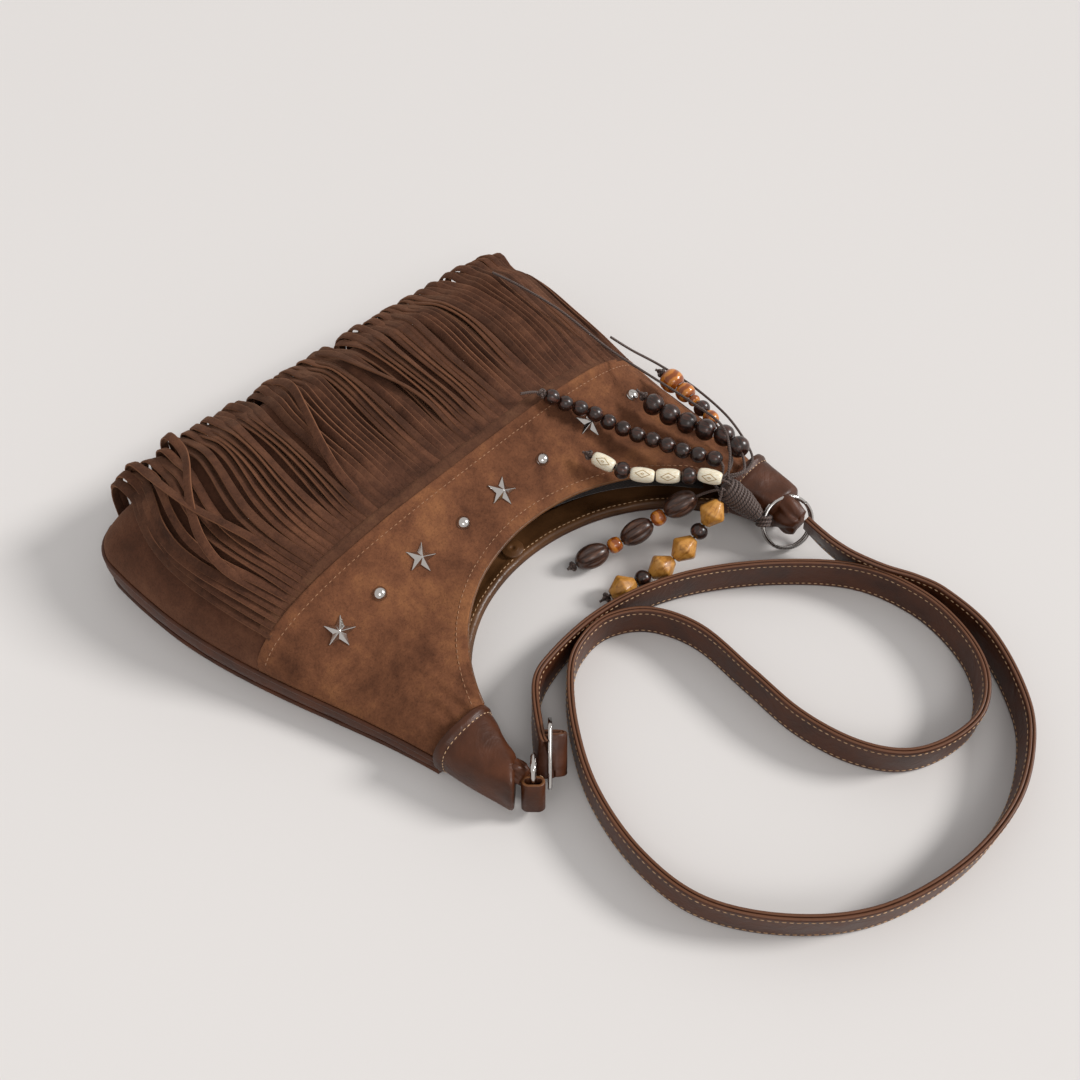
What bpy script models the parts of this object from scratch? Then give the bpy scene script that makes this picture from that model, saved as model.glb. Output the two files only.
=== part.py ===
"""A fringed suede shoulder bag with a crescent mouth, lying on its back panel.

Sizes are in millimetres until place() turns them into world metres. A point of the bag is
(x, h, z): x across the bag, h from the bottom edge towards the two horns, z up from the floor.
"""

import math

import bmesh
import bpy
import numpy as np
from mathutils import Matrix, Vector

MM = 0.001

# Outline of the bag
HALF_WIDTH = 145.0        # at the belly
CAP_HALF_WIDTH = 119.0    # where the leather caps begin
CAP_LINE = 208.0          # height at which the caps begin
CORNER = 20.0             # radius of the two bottom corners
TAPER_START = 30.0        # height from which the sides draw in
MOUTH_HALF_WIDTH = 95.0   # the crescent mouth is part of an ellipse
MOUTH_CENTRE = 235.0
MOUTH_DEPTH = 83.0
SEAM_LINE = 114.0         # seam between the yoke and the lower panel, where the fringe is sewn in
FRAME_X = -13.0           # the frame's origin lies under this point of the bag
FRAME_H = 116.475

# How the soft body settles on the floor
SLUMP_SHIFT = 13.0        # the belly slides this far to -X
HORN_SHIFT = 3.5          # and the horns this far to +X
SLUMP_TURN = 0.05
SLUMP_LINE = 131.0

# Heights of the puffed front
BELLY = 64.0
BELLY_LINE = 55.0
BOTTOM_DROP = 6.0
SEAM_CROWN = 55.0
LIP = 34.0                # height of the front mouth edge
EDGE_LOW = 22.0           # height of the gusset at the bottom
EDGE_CAP = 12.0           # and at the caps
BOTTOM_ROUND = 26.0
FULLNESS = 3.2            # how square the front's cross-section is

# Materials of the body
SUEDE = 2.0
LEATHER = 1.8
FACING = 1.2
LINING = 0.8
GAP = 0.4
FACING_WIDTH = 16.0
LINING_INSET = 8.0
SNAP_RADIUS = 6.0
SNAP_THICKNESS = 2.4

# Fringe
STRIPS = 46
STRIP_WIDTH = 4.5
STRIP_THICKNESS = 1.2
FRINGE_SPREAD = 0.93      # share of the half width that the strips cover
HEADER = 7.0
FRINGE_LIFT = 0.7
FRINGE_OVERHANG = 13.0    # how far the strips arch out over the bottom edge
FRINGE_END = 12.0         # height of their free ends
FRINGE_SWAY = 2.2

# Studs on the yoke
STUD_LINE = 134.0
STAR_X = (-104.0, -51.0, 5.0, 71.0)
DOME_X = (-78.0, -22.0, 35.0, 106.0)
STAR_RADIUS = 8.0
STAR_WAIST = 3.3
STAR_HEIGHT = 2.8
DOME_RADIUS = 3.4
DOME_HEIGHT = 2.6

# Horn caps and necks
CAP_HALF_SIZE = (17.0, 15.3)
LEFT_CAP_END = (-105.5, 237.0, 13.2)
LEFT_CAP_END_SIZE = (12.5, 12.6)
RIGHT_CAP_END = (112.0, 232.0, 13.2)
RIGHT_CAP_END_SIZE = (10.0, 10.5)
LEFT_NECK = ((-103.0, 237.35, 17.5, 6.4), (-102.0, 240.2, 17.8, 5.2), (-101.4, 243.6, 16.4, 3.6))
RIGHT_NECK = ((111.5, 232.35, 14.0, 8.0), (108.5, 240.0, 16.0, 6.4), (108.0, 243.6, 17.0, 5.0),
              (108.2, 246.7, 16.2, 3.0))

# Split ring at the right horn
RING_CENTRE = (105.0, 241.0, 13.8)
RING_OUTER = 15.0
RING_WIRE = 1.3
RING_NORMAL = (-0.351, 0.701, 0.621)

# Tab loop, rectangular ring and slide adjuster at the left horn
TAB_CENTRE = (-97.9, 250.8, 14.2)
TAB_SIZE = (11.0, 7.2, 16.0)
TAB_WALL = 1.7
LINK_WIRE = 1.5
LINK_SIZE = (9.8, 25.6)
SLIDER_CENTRE = (-79.1, 243.3, 17.2)
SLIDER_SIZE = (16.8, 31.0, 2.2)
SLIDER_BAR = 2.2
TAB_RISE = math.radians(68)
SLIDER_RISE = math.radians(39)

# Shoulder strap
STRAP_WIDTH = 20.0
STRAP_THICKNESS = 3.5
STRAP_STEP = 12.5

# Charm: the wrapped barrel and its tie
TIE_ANGLE = math.radians(160)
BARREL_START = 4.1
BARREL_END = (85.0, 212.0, 37.0)
BARREL_PROFILE = ((0.0, 3.2), (0.15, 4.6), (0.5, 6.3), (0.85, 6.4), (1.0, 5.4))
EXIT_RADIUS = 4.4         # the strands leave the barrel on this circle
TIE_RADIUS = 3.3
TIE_WIRE = 1.0
CORD_RADIUS = 0.7
CORD_STEP = 4.2           # three cord diameters
BORE_RADIUS = 1.2
LONG_BORE_RADIUS = 2.1    # in beads longer than 12 mm
BEAD_GAP = 0.75
KNOT_RADIUS = 1.9

# The camera's side direction and its away direction, in (x, h), along which hardware lies
SIDEWAYS = (0.691, 0.723)
AWAY = (0.723, -0.691)

# Bead kinds: radius, length and the share of the radius left at the two ends
BEADS = {
    "small_dark": (4.2, 7.8, 0.55),
    "large_dark": (5.9, 9.7, 0.55),
    "big_amber": (6.5, 10.6, 0.5),
    "mid_amber": (5.3, 8.6, 0.5),
    "amber": (4.2, 7.4, 0.55),
    "thin_amber": (3.4, 4.2, 0.7),
    "dark": (4.6, 7.4, 0.55),
    "bone": (3.9, 12.4, 0.7),
    "oval": (6.6, 18.0, 0.35),
    "bicone": (7.4, 14.4, 0.29),
}

# Strap route, from the right horn's neck round the loop to the slide adjuster
STRAP_ROUTE = (
    (105.0, 251.2, 23.0), (104.6, 257.5, 21.6), (105.2, 267.7, 18.4), (107.2, 279.6, 15.4),
    (111.8, 295.5, 12.6), (117.5, 310.0, 11.0), (121.0, 326.0, 10.4), (117.0, 353.0, 10.4), (101.0, 380.0, 10.4),
    (81.0, 398.0, 10.4), (48.0, 410.0, 10.4), (7.0, 409.0, 10.4), (-34.0, 395.0, 10.4),
    (-64.0, 370.0, 10.4), (-84.0, 338.0, 10.4), (-87.0, 305.0, 10.4), (-78.5, 271.0, 10.4),
    (-61.5, 242.5, 10.4), (-41.0, 221.0, 10.4), (-24.0, 213.5, 10.4), (-6.0, 214.5, 10.4),
    (11.0, 227.0, 10.4), (20.0, 251.0, 10.4), (18.0, 284.0, 10.4), (16.0, 314.0, 10.4),
    (21.0, 341.0, 10.4), (33.0, 361.0, 10.4), (52.0, 372.0, 10.4), (75.0, 375.0, 10.4),
    (95.0, 365.0, 10.4), (107.5, 345.0, 10.4), (112.0, 318.0, 10.4), (104.0, 287.0, 10.4),
    (79.0, 256.5, 10.4), (47.0, 230.5, 10.4), (17.0, 215.5, 10.4), (-13.0, 208.5, 10.4),
    (-41.0, 209.5, 10.6), (-61.0, 217.0, 12.5),
)

# Beaded strands: route from the barrel's end to the knot, beads from the knot inwards
STRANDS = {
    "small_dark": {
        "exit": -14,
        "route": ((91.0, 204.5, 43.0), (91.0, 199.0, 43.2), (87.8, 192.0, 43.0),
                  (84.2, 184.0, 43.0), (82.0, 176.0, 42.5), (79.9, 168.0, 42.0), (77.2, 160.0, 41.6),
                  (75.0, 151.5, 41.8), (72.2, 143.0, 43.0), (68.5, 136.0, 47.2), (64.0, 130.0, 50.6),
                  (59.0, 124.0, 53.5), (53.0, 117.8, 59.5), (47.0, 113.5, 64.0), (39.5, 110.0, 66.0)),
        "beads": ("small_dark",) * 12,
        "knot_at": 12.0,
        "fused": True,
    },
    "large_dark": {
        "exit": 22,
        "route": ((96.0, 214.0, 41.0), (103.0, 209.0, 40.4), (108.5, 201.0, 40.0),
                  (109.5, 192.0, 40.0), (106.0, 182.5, 40.0), (103.0, 173.5, 40.0), (100.8, 164.0, 40.4),
                  (99.0, 154.0, 41.4), (98.5, 144.8, 43.4), (98.5, 139.0, 45.0)),
        "beads": ("large_dark",) * 6,
        "knot_at": 5.0,
        "fused": True,
    },
    "amber": {
        "exit": -92,
        "route": ((87.5, 204.6, 31.9), (97.0, 204.6, 31.2), (106.0, 200.5, 31.4), (113.5, 190.0, 32.6),
                  (117.5, 178.0, 34.5), (120.5, 166.0, 35.0), (122.5, 152.0, 36.0), (123.0, 139.0, 37.5),
                  (122.0, 133.0, 38.5)),
        "beads": ("big_amber", "mid_amber", "thin_amber", "dark", "amber"),
        "knot_at": 3.5,
    },
    "bone": {
        "exit": 105,
        "route": ((79.6, 202.6, 42.6), (73.2, 194.8, 41.4), (66.4, 186.4, 40.4),
                  (59.0, 177.5, 40.2), (53.8, 167.5, 40.4), (50.5, 156.5, 41.6), (47.5, 146.5, 43.0)),
        "beads": ("bone", "dark", "bone", "bone", "dark", "bone"),
        "knot_at": 3.4,
    },
    "oval": {
        "exit": -150,
        "route": ((75.0, 203.8, 32.0), (66.0, 197.6, 26.0), (56.0, 192.6, 19.8), (45.0, 187.9, 14.0),
                  (32.5, 183.0, 9.4), (18.0, 177.5, 7.0), (8.0, 173.5, 4.0)),
        "beads": ("oval", "amber", "oval", "amber", "oval"),
        "knot_at": 3.0,
    },
    "bicone": {
        "exit": 160,
        "route": ((77.8, 214.4, 36.0), (71.0, 214.8, 28.5), (61.5, 214.5, 21.5), (48.0, 213.0, 14.0),
                  (34.0, 209.5, 9.6), (20.5, 205.0, 8.4), (10.0, 201.0, 6.0), (5.0, 199.0, 3.5)),
        "beads": ("bicone", "dark", "bicone", "bicone", "dark", "bicone"),
        "knot_at": 4.0,
    },
}

# Thin cords without beads that trail from the barrel
LOOSE_CORDS = {
    "trailing_cord": (58, (96.0, 204.0, 49.5), (106.0, 190.0, 50.5), (109.5, 165.0, 48.0),
                      (109.0, 140.0, 48.0), (106.0, 112.0, 51.5), (102.0, 80.0, 61.0), (98.0, 52.0, 64.5),
                      (95.0, 34.0, 65.0)),
    "outer_cord": (-50, (95.5, 209.8, 34.0), (104.0, 211.0, 32.4), (113.0, 208.5, 32.4),
                   (122.0, 196.0, 30.5), (131.5, 176.0, 27.5), (134.0, 152.0, 29.0),
                   (129.0, 131.0, 35.0), (121.0, 116.0, 42.5), (113.0, 107.0, 52.0)),
}


def new_collection(name):
    collection = bpy.data.collections.new(name)
    bpy.context.scene.collection.children.link(collection)
    return collection


for old in list(bpy.data.objects):
    bpy.data.objects.remove(old, do_unlink=True)
BAG = new_collection("fringed_suede_bag")


# Materials

def material(name, colour, roughness, metallic=0.0):
    made = bpy.data.materials.new(name)
    made.use_nodes = True
    shader = made.node_tree.nodes["Principled BSDF"]
    shader.inputs["Base Color"].default_value = (*colour, 1.0)
    shader.inputs["Roughness"].default_value = roughness
    shader.inputs["Metallic"].default_value = metallic
    return made


SUEDE_BROWN = material("suede", (0.165, 0.075, 0.038), 0.95)
FRINGE_BROWN = material("fringe_suede", (0.085, 0.038, 0.022), 0.95)
LEATHER_BROWN = material("smooth_leather", (0.095, 0.042, 0.022), 0.4)
STRAP_BROWN = material("strap_leather", (0.075, 0.034, 0.019), 0.42)
LINING_CLOTH = material("lining_cloth", (0.03, 0.02, 0.015), 0.9)
CHROME = material("chrome", (0.72, 0.72, 0.73), 0.12, 1.0)
CORD_BROWN = material("waxed_cord", (0.05, 0.03, 0.027), 0.6)
DARK_WOOD = material("dark_wood", (0.024, 0.012, 0.009), 0.25)
AMBER_WOOD = material("amber_wood", (0.38, 0.11, 0.015), 0.25)
LIGHT_WOOD = material("light_wood", (0.55, 0.27, 0.06), 0.4)
BONE = material("bone", (0.8, 0.7, 0.53), 0.45)
BEAD_MATERIALS = {
    "small_dark": DARK_WOOD, "large_dark": DARK_WOOD, "dark": DARK_WOOD, "oval": DARK_WOOD,
    "big_amber": AMBER_WOOD, "mid_amber": AMBER_WOOD, "amber": AMBER_WOOD, "thin_amber": AMBER_WOOD,
    "bone": BONE, "bicone": LIGHT_WOOD,
}


# Shape of the bag

def place(x, h, z):
    """World position in metres of a point (x, h, z) in millimetres."""
    return Vector((x - FRAME_X, FRAME_H - h, z)) * MM


def direction(x, h, z):
    return Vector((x, -h, z)).normalized()


def smooth_step(t):
    t = min(1.0, max(0.0, t))
    return t * t * (3 - 2 * t)


def settled(x, h):
    """Where the soft body's point (x, h) comes to lie."""
    along = smooth_step((h - BELLY_LINE) / (CAP_LINE - BELLY_LINE))
    shift = (SLUMP_SHIFT + HORN_SHIFT) * along - SLUMP_SHIFT
    turn = SLUMP_TURN * max(0.0, 1 - h / SLUMP_LINE)
    return x + shift, h + turn * x


def bag_point(x, h, z):
    return place(*settled(x, h), z)


def half_width(h):
    taper = max(0.0, h - TAPER_START) / (CAP_LINE - TAPER_START)
    width = HALF_WIDTH - (HALF_WIDTH - CAP_HALF_WIDTH) * taper ** 1.5
    if h < CORNER:
        width -= CORNER - math.sqrt(CORNER**2 - (CORNER - h) ** 2)
    return width


def edge_height(h):
    return EDGE_LOW + (EDGE_CAP - EDGE_LOW) * min(1.0, max(0.0, h / CAP_LINE))


def mouth_line():
    return MOUTH_CENTRE - MOUTH_DEPTH


def crown(h):
    """Height of the front along the bag's middle."""
    if h < BELLY_LINE:
        return BELLY - BOTTOM_DROP * ((BELLY_LINE - h) / BELLY_LINE) ** 2
    if h < SEAM_LINE:
        return BELLY - (BELLY - SEAM_CROWN) * ((h - BELLY_LINE) / (SEAM_LINE - BELLY_LINE)) ** 2
    fall = max(0.0, 1 - (h - SEAM_LINE) / (mouth_line() - SEAM_LINE))
    return LIP + (SEAM_CROWN - LIP) * fall**1.4


def front_height(x, h):
    """Height of the puffed front at a point of the flat outline."""
    edge = edge_height(h)
    across = min(1.0, abs(x) / half_width(max(h, 0.0)))
    rise = math.sqrt(max(0.0, 1 - across**FULLNESS))
    if h < BOTTOM_ROUND:
        rise *= math.sqrt(max(0.0, 1 - (1 - h / BOTTOM_ROUND) ** 2))
    return edge + (crown(h) - edge) * rise


def mouth_point(t):
    """Point of the mouth's edge, t from 0 at the left cap to 1 at the right one."""
    end = math.acos((MOUTH_CENTRE - CAP_LINE + GAP) / MOUTH_DEPTH)
    angle = end * (2 * t - 1)
    return MOUTH_HALF_WIDTH * math.sin(angle), MOUTH_CENTRE - MOUTH_DEPTH * math.cos(angle)


def side_heights(low, high, count):
    """Heights along a side, closer together in the bottom corner."""
    return [low + (high - low) * (i / (count - 1)) ** 1.35 for i in range(count)]


def perimeter(low, side_count, bottom_count):
    """The outline from the left cap, down and along the line h = low, and up to the right cap."""
    heights = side_heights(low, CAP_LINE - GAP, side_count)
    left = [(-half_width(h), h) for h in reversed(heights)]
    width = half_width(low)
    bottom = [(width * (2 * i / bottom_count - 1), low) for i in range(1, bottom_count)]
    right = [(half_width(h), h) for h in heights]
    return left + bottom + right


# Builders

def link(obj, finish):
    BAG.objects.link(obj)
    obj.data.materials.append(finish)
    return obj


def mesh_object(name, vertices, faces, finish):
    mesh = bpy.data.meshes.new(name)
    mesh.from_pydata([tuple(v) for v in vertices], [], faces)
    mesh.update()
    return link(bpy.data.objects.new(name, mesh), finish)


def sheet(name, rows, thickness, finish, flip=False):
    """A sheet of material whose outer face runs through the rows of points."""
    width = len(rows[0])
    faces = []
    for j in range(len(rows) - 1):
        for i in range(width - 1):
            corners = [j * width + i, j * width + i + 1, (j + 1) * width + i + 1, (j + 1) * width + i]
            faces.append(corners[::-1] if flip else corners)
    obj = mesh_object(name, [p for row in rows for p in row], faces, finish)
    solidify = obj.modifiers.new("thickness", "SOLIDIFY")
    solidify.thickness = thickness * MM
    solidify.offset = -1
    return obj


def loft(name, rings, finish):
    """A closed body through rings of points, with its two ends capped."""
    count = len(rings[0])
    bm = bmesh.new()
    loops = [[bm.verts.new(p) for p in ring] for ring in rings]
    for low, high in zip(loops, loops[1:]):
        for i in range(count):
            bm.faces.new((low[i], low[(i + 1) % count], high[(i + 1) % count], high[i]))
    bm.faces.new(loops[0][::-1])
    bm.faces.new(loops[-1])
    bmesh.ops.recalc_face_normals(bm, faces=bm.faces)
    mesh = bpy.data.meshes.new(name)
    bm.to_mesh(mesh)
    bm.free()
    mesh.shade_smooth()
    return link(bpy.data.objects.new(name, mesh), finish)


def smooth_route(points, step):
    """Points about step apart on a smooth curve through the route's own points."""
    given = np.array(points, float)
    ends = np.vstack([2 * given[0] - given[1], given, 2 * given[-1] - given[-2]])
    fine = []
    for a, b, c, d in zip(ends, ends[1:], ends[2:], ends[3:]):
        for t in np.linspace(0, 1, 12, endpoint=False):
            fine.append(0.5 * (2 * b + (c - a) * t + (2 * a - 5 * b + 4 * c - d) * t**2
                               + (3 * b - a - 3 * c + d) * t**3))
    fine.append(given[-1])
    fine = np.array(fine)
    along = np.concatenate([[0], np.cumsum(np.linalg.norm(np.diff(fine, axis=0), axis=1))])
    stops = np.linspace(0, along[-1], max(2, round(along[-1] / step) + 1))
    return np.stack([np.interp(stops, along, fine[:, k]) for k in range(3)], axis=1)


def tube(name, world_points, radius, finish, cyclic=False):
    curve = bpy.data.curves.new(name, "CURVE")
    curve.dimensions = "3D"
    curve.bevel_depth = radius * MM
    curve.bevel_resolution = 2
    curve.use_fill_caps = not cyclic
    spline = curve.splines.new("POLY")
    spline.points.add(len(world_points) - 1)
    for point, position in zip(spline.points, world_points):
        point.co = (*position, 1.0)
    spline.use_cyclic_u = cyclic
    return link(bpy.data.objects.new(name, curve), finish)


def turned(name, profile, finish, steps=12):
    """A body of revolution about its own Z; the profile runs down its outer side."""
    mesh = bpy.data.meshes.new(name)
    closed = profile[0][0] > 0
    edges = [(i, i + 1) for i in range(len(profile) - 1)]
    if closed:
        edges.append((len(profile) - 1, 0))
    mesh.from_pydata([(r * MM, 0, z * MM) for r, z in profile], edges, [])
    obj = link(bpy.data.objects.new(name, mesh), finish)
    screw = obj.modifiers.new("turn", "SCREW")
    screw.steps = steps
    screw.render_steps = steps
    screw.use_merge_vertices = True
    screw.merge_threshold = 0.00005
    screw.use_smooth_shade = True
    return obj


def stand_on(obj, position, up):
    """Puts the object's origin at a world position with its Z along a direction."""
    obj.matrix_world = Matrix.Translation(position) @ up.to_track_quat("Z", "Y").to_matrix().to_4x4()
    return obj


def turn_towards(obj, pointer):
    """Turns an object about its own Z until its Y leans as far as it can along a direction."""
    local = obj.matrix_world.to_3x3().inverted() @ pointer
    obj.matrix_world = obj.matrix_world @ Matrix.Rotation(math.atan2(-local.x, local.y), 4, "Z")
    return obj


# Body of the bag

def back_panel():
    outline = [bag_point(x, h, 0) for x, h in perimeter(0.0, 12, 10)]
    outline += [bag_point(*mouth_point(1 - i / 24), 0) for i in range(25)]
    curve = bpy.data.curves.new("back_panel", "CURVE")
    curve.dimensions = "2D"
    curve.fill_mode = "BOTH"
    curve.extrude = LEATHER / 2 * MM
    spline = curve.splines.new("POLY")
    spline.points.add(len(outline) - 1)
    for point, position in zip(spline.points, outline):
        point.co = (position.x, position.y, 0, 1)
    spline.use_cyclic_u = True
    obj = link(bpy.data.objects.new("back_panel", curve), LEATHER_BROWN)
    obj.location.z = LEATHER / 2 * MM


def gusset():
    low = LEATHER + GAP
    path = perimeter(0.0, 12, 12)
    rows = []
    for share, bulge in ((0.0, 0.0), (0.5, 1.5), (1.0, 0.0)):
        row = []
        for x, h in path:
            top = edge_height(h) - 1.0
            grow = 1 + bulge / half_width(max(h, CORNER))
            row.append(bag_point(x * grow, h - bulge * (h < CORNER), low + (top - low) * share))
        rows.append(row)
    sheet("gusset", rows, LEATHER, LEATHER_BROWN, flip=True)


def lower_front_panel():
    top = SEAM_LINE - GAP / 2
    heights = [0.0, 1.5, 5.0, 11.0, 20.0, 36.0, 58.0, 84.0, top]
    columns = [math.sin(math.radians(angle)) for angle in np.linspace(-90, 90, 17)]
    rows = []
    for h in heights:
        width = half_width(h)
        rows.append([bag_point(width * c, h, front_height(width * c, h)) for c in columns])
    sheet("lower_front_panel", rows, SUEDE, SUEDE_BROWN, flip=True)


def between(inner, outer, t):
    return [a + (b - a) * t for a, b in zip(inner, outer)]


def yoke_panel():
    outer = perimeter(SEAM_LINE + 1.2, 7, 14)
    inner = [mouth_point(i / (len(outer) - 1)) for i in range(len(outer))]
    rows = []
    for t in (0.0, 0.25, 0.5, 0.75, 0.93, 1.0):
        points = [between(a, b, t) for a, b in zip(inner, outer)]
        rows.append([bag_point(x, h, front_height(x, h)) for x, h in points])
    sheet("yoke_panel", rows, SUEDE, SUEDE_BROWN)


def mouth_band(inset, count=25):
    """Points of the mouth's edge moved into the panels by inset."""
    points = []
    for i in range(count):
        t = 0.02 + 0.96 * i / (count - 1)
        x, h = mouth_point(t)
        normal = Vector((x / MOUTH_HALF_WIDTH**2, (h - MOUTH_CENTRE) / MOUTH_DEPTH**2)).normalized()
        points.append((x + normal.x * inset, h + normal.y * inset))
    return points


def facings():
    low = LEATHER + GAP + FACING
    rows = [[bag_point(x, h, low) for x, h in mouth_band(inset)]
            for inset in (0.5, FACING_WIDTH / 2, FACING_WIDTH)]
    sheet("back_facing", rows, FACING, LEATHER_BROWN)
    drop = SUEDE + 3 * GAP
    rows = [[bag_point(x, h, front_height(x, h) - drop) for x, h in mouth_band(inset)]
            for inset in (0.5, FACING_WIDTH / 2, FACING_WIDTH)]
    sheet("front_facing", rows, FACING, LEATHER_BROWN)


def lining():
    """One cloth pocket, from the front facing's edge round the inside to the back facing's edge."""
    outer = perimeter(LINING_INSET, 6, 6)
    inner = mouth_band(FACING_WIDTH + 3 * GAP, len(outer))
    top, low = CAP_LINE - 2 * LINING_INSET, LEATHER + FACING + 3 * GAP + LINING
    drop = SUEDE + FACING + LINING + 5 * GAP
    rows = []
    for t, front in ((0, 1), (0.4, 1), (0.75, 1), (0.94, 1), (1, 1), (1, 0), (0.5, 0), (0, 0)):
        row = []
        for a, b in zip(inner, outer):
            x, h = between(a, b, t)
            h = min(h, top)
            height = low
            if front:
                height = max(low + 2.0, front_height(x, h) - drop)
            width = half_width(h)
            row.append(bag_point(x * (width - LINING_INSET) / width, h, height))
        rows.append(row)
    sheet("lining", rows, LINING, LINING_CLOTH)


def magnetic_snap():
    """Two discs that meet when the mouth is pressed shut."""
    x, h = 0.0, mouth_line() - FACING_WIDTH / 2
    low = LEATHER + FACING + 2 * GAP
    profile = ((0, SNAP_THICKNESS), (SNAP_RADIUS - 0.5, SNAP_THICKNESS), (SNAP_RADIUS, SNAP_THICKNESS - 0.5),
               (SNAP_RADIUS, 0), (0, 0))
    disc = turned("magnetic_snap_back", profile, CHROME)
    stand_on(disc, bag_point(x, h, low), Vector((0, 0, 1)))
    slope = (front_height(x, h + 1) - front_height(x, h - 1)) / 2
    down = direction(0, slope, -1)
    under = SUEDE + FACING + 5 * GAP
    disc = turned("magnetic_snap_front", profile, CHROME)
    stand_on(disc, bag_point(x, h, front_height(x, h) - under), down)


def fringe_strip(x, sway):
    """Path of one strip, from the header to its free end beyond the bottom edge."""
    path = []
    for h, lift in ((SEAM_LINE - HEADER, 0.0), (84.0, 0.8), (58.0, 1.2), (32.0, 2.0), (14.0, 4.5)):
        bend = sway * math.sin(math.pi * (SEAM_LINE - h) / SEAM_LINE)
        path.append((x + bend, h, front_height(x + bend, h) + FRINGE_LIFT + lift))
    brink = front_height(0.92 * x, BOTTOM_ROUND / 2) + 1.5
    fall = brink - FRINGE_END
    out = FRINGE_OVERHANG * (1 + 0.35 * (x / HALF_WIDTH) ** 2)
    path.append((x + sway, 0.0, brink - 0.02 * fall))
    path.append((x + sway, -0.8 * out, brink - 0.28 * fall))
    path.append((x + sway, -out, brink - 0.62 * fall))
    path.append((x + sway, -0.9 * out, FRINGE_END))
    return path


def fringe():
    """One piece of suede: a header sewn into the seam, cut into strips."""
    spread = half_width(SEAM_LINE) * FRINGE_SPREAD
    pitch = 2 * spread / STRIPS
    vertices, faces = [], []

    def corner(x, h, z):
        vertices.append(bag_point(x, h, z))
        return len(vertices) - 1

    previous = None
    for i in range(STRIPS):
        middle = -spread + (i + 0.5) * pitch
        sway = FRINGE_SWAY * math.sin(i * 0.7) * (1 - abs(middle) / spread)
        sides = []
        for side in (-1, 1):
            edge = middle + side * STRIP_WIDTH / 2
            top = SEAM_LINE - GAP - 0.2
            line = [corner(edge, top, front_height(edge, top) + FRINGE_LIFT)]
            line += [corner(*p) for p in fringe_strip(edge, sway)]
            sides.append(line)
        left, right = sides
        for j in range(len(left) - 1):
            faces.append((left[j], right[j], right[j + 1], left[j + 1]))
        if previous:
            faces.append((previous[0], left[0], left[1], previous[1]))
        previous = right
    obj = mesh_object("fringe", vertices, faces, FRINGE_BROWN)
    solidify = obj.modifiers.new("thickness", "SOLIDIFY")
    solidify.thickness = STRIP_THICKNESS * MM
    solidify.offset = 1


# Studs

def front_frame(x, h):
    """World position and outward normal of the front at a point of the flat outline."""
    here = bag_point(x, h, front_height(x, h))
    across = bag_point(x + 2, h, front_height(x + 2, h)) - bag_point(x - 2, h, front_height(x - 2, h))
    along = bag_point(x, h + 2, front_height(x, h + 2)) - bag_point(x, h - 2, front_height(x, h - 2))
    return here, along.cross(across).normalized()


def star_stud(name, x):
    """A five-pointed faceted pyramid: a ten-sided cone whose base is drawn in at every second corner."""
    bm = bmesh.new()
    bmesh.ops.create_cone(bm, cap_ends=True, segments=10, radius1=STAR_RADIUS * MM, radius2=0,
                          depth=STAR_HEIGHT * MM)
    for vertex in bm.verts:
        if vertex.co.z < 0 and round(math.degrees(math.atan2(vertex.co.x, vertex.co.y)) / 36) % 2:
            vertex.co.xy *= STAR_WAIST / STAR_RADIUS
    mesh = bpy.data.meshes.new(name)
    bm.to_mesh(mesh)
    bm.free()
    obj = link(bpy.data.objects.new(name, mesh), CHROME)
    here, normal = front_frame(x, STUD_LINE)
    stand_on(obj, here + normal * (STAR_HEIGHT / 2 + 2.5 * GAP) * MM, normal)
    return turn_towards(obj, direction(*AWAY, 0.5))


def dome_stud(name, x):
    profile = [(DOME_RADIUS * math.sin(a), DOME_HEIGHT * math.cos(a))
               for a in np.radians((0, 25, 50, 72, 90))]
    profile[0] = (0.0, DOME_HEIGHT)
    obj = turned(name, profile + [(0.0, 0.0)], CHROME)
    here, normal = front_frame(x, STUD_LINE)
    return stand_on(obj, here + normal * 1.6 * GAP * MM, normal)


def studs():
    for number, x in enumerate(STAR_X, 1):
        star_stud(f"star_stud_{number}", x)
    for number, x in enumerate(DOME_X, 1):
        dome_stud(f"dome_stud_{number}", x)


# Horn caps and necks

def oval_ring(centre, half_x, half_z, count=16):
    """A rounded cross-section across the bag."""
    points = []
    for i in range(count):
        a = 2 * math.pi * (i + 0.5) / count
        c, s = math.cos(a), math.sin(a)
        x = half_x * math.copysign(abs(c) ** 0.75, c)
        z = half_z * math.copysign(abs(s) ** 0.75, s)
        points.append(place(centre[0] + x, centre[1], centre[2] + z))
    return points


def cap(name, side, end, end_size):
    """A leather sleeve drawn in towards its end."""
    inner = mouth_point(0)[0]
    start = (side * (half_width(CAP_LINE) - inner) / 2 + HORN_SHIFT, CAP_LINE + GAP, CAP_HALF_SIZE[1] + 0.3)
    rings = []
    for t, grow in ((0, 1.0), (0.3, 0.98), (0.6, 0.95), (0.88, 1.0), (1.0, 0.8)):
        centre = between(start, end, t)
        half_x, half_z = between(CAP_HALF_SIZE, end_size, t)
        rings.append(oval_ring(centre, half_x * grow, half_z * grow))
    return loft(name, rings, LEATHER_BROWN)


def neck(name, stations):
    """A folded stub of leather beyond a cap."""
    rings = [oval_ring(station[:3], station[3] * 0.85, station[3], count=12) for station in stations]
    loft(name, rings, LEATHER_BROWN)


def horns():
    cap("left_horn_cap", -1, LEFT_CAP_END, LEFT_CAP_END_SIZE)
    cap("right_horn_cap", 1, RIGHT_CAP_END, RIGHT_CAP_END_SIZE)
    neck("left_neck", LEFT_NECK)
    neck("right_neck", RIGHT_NECK)


# Hardware

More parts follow.
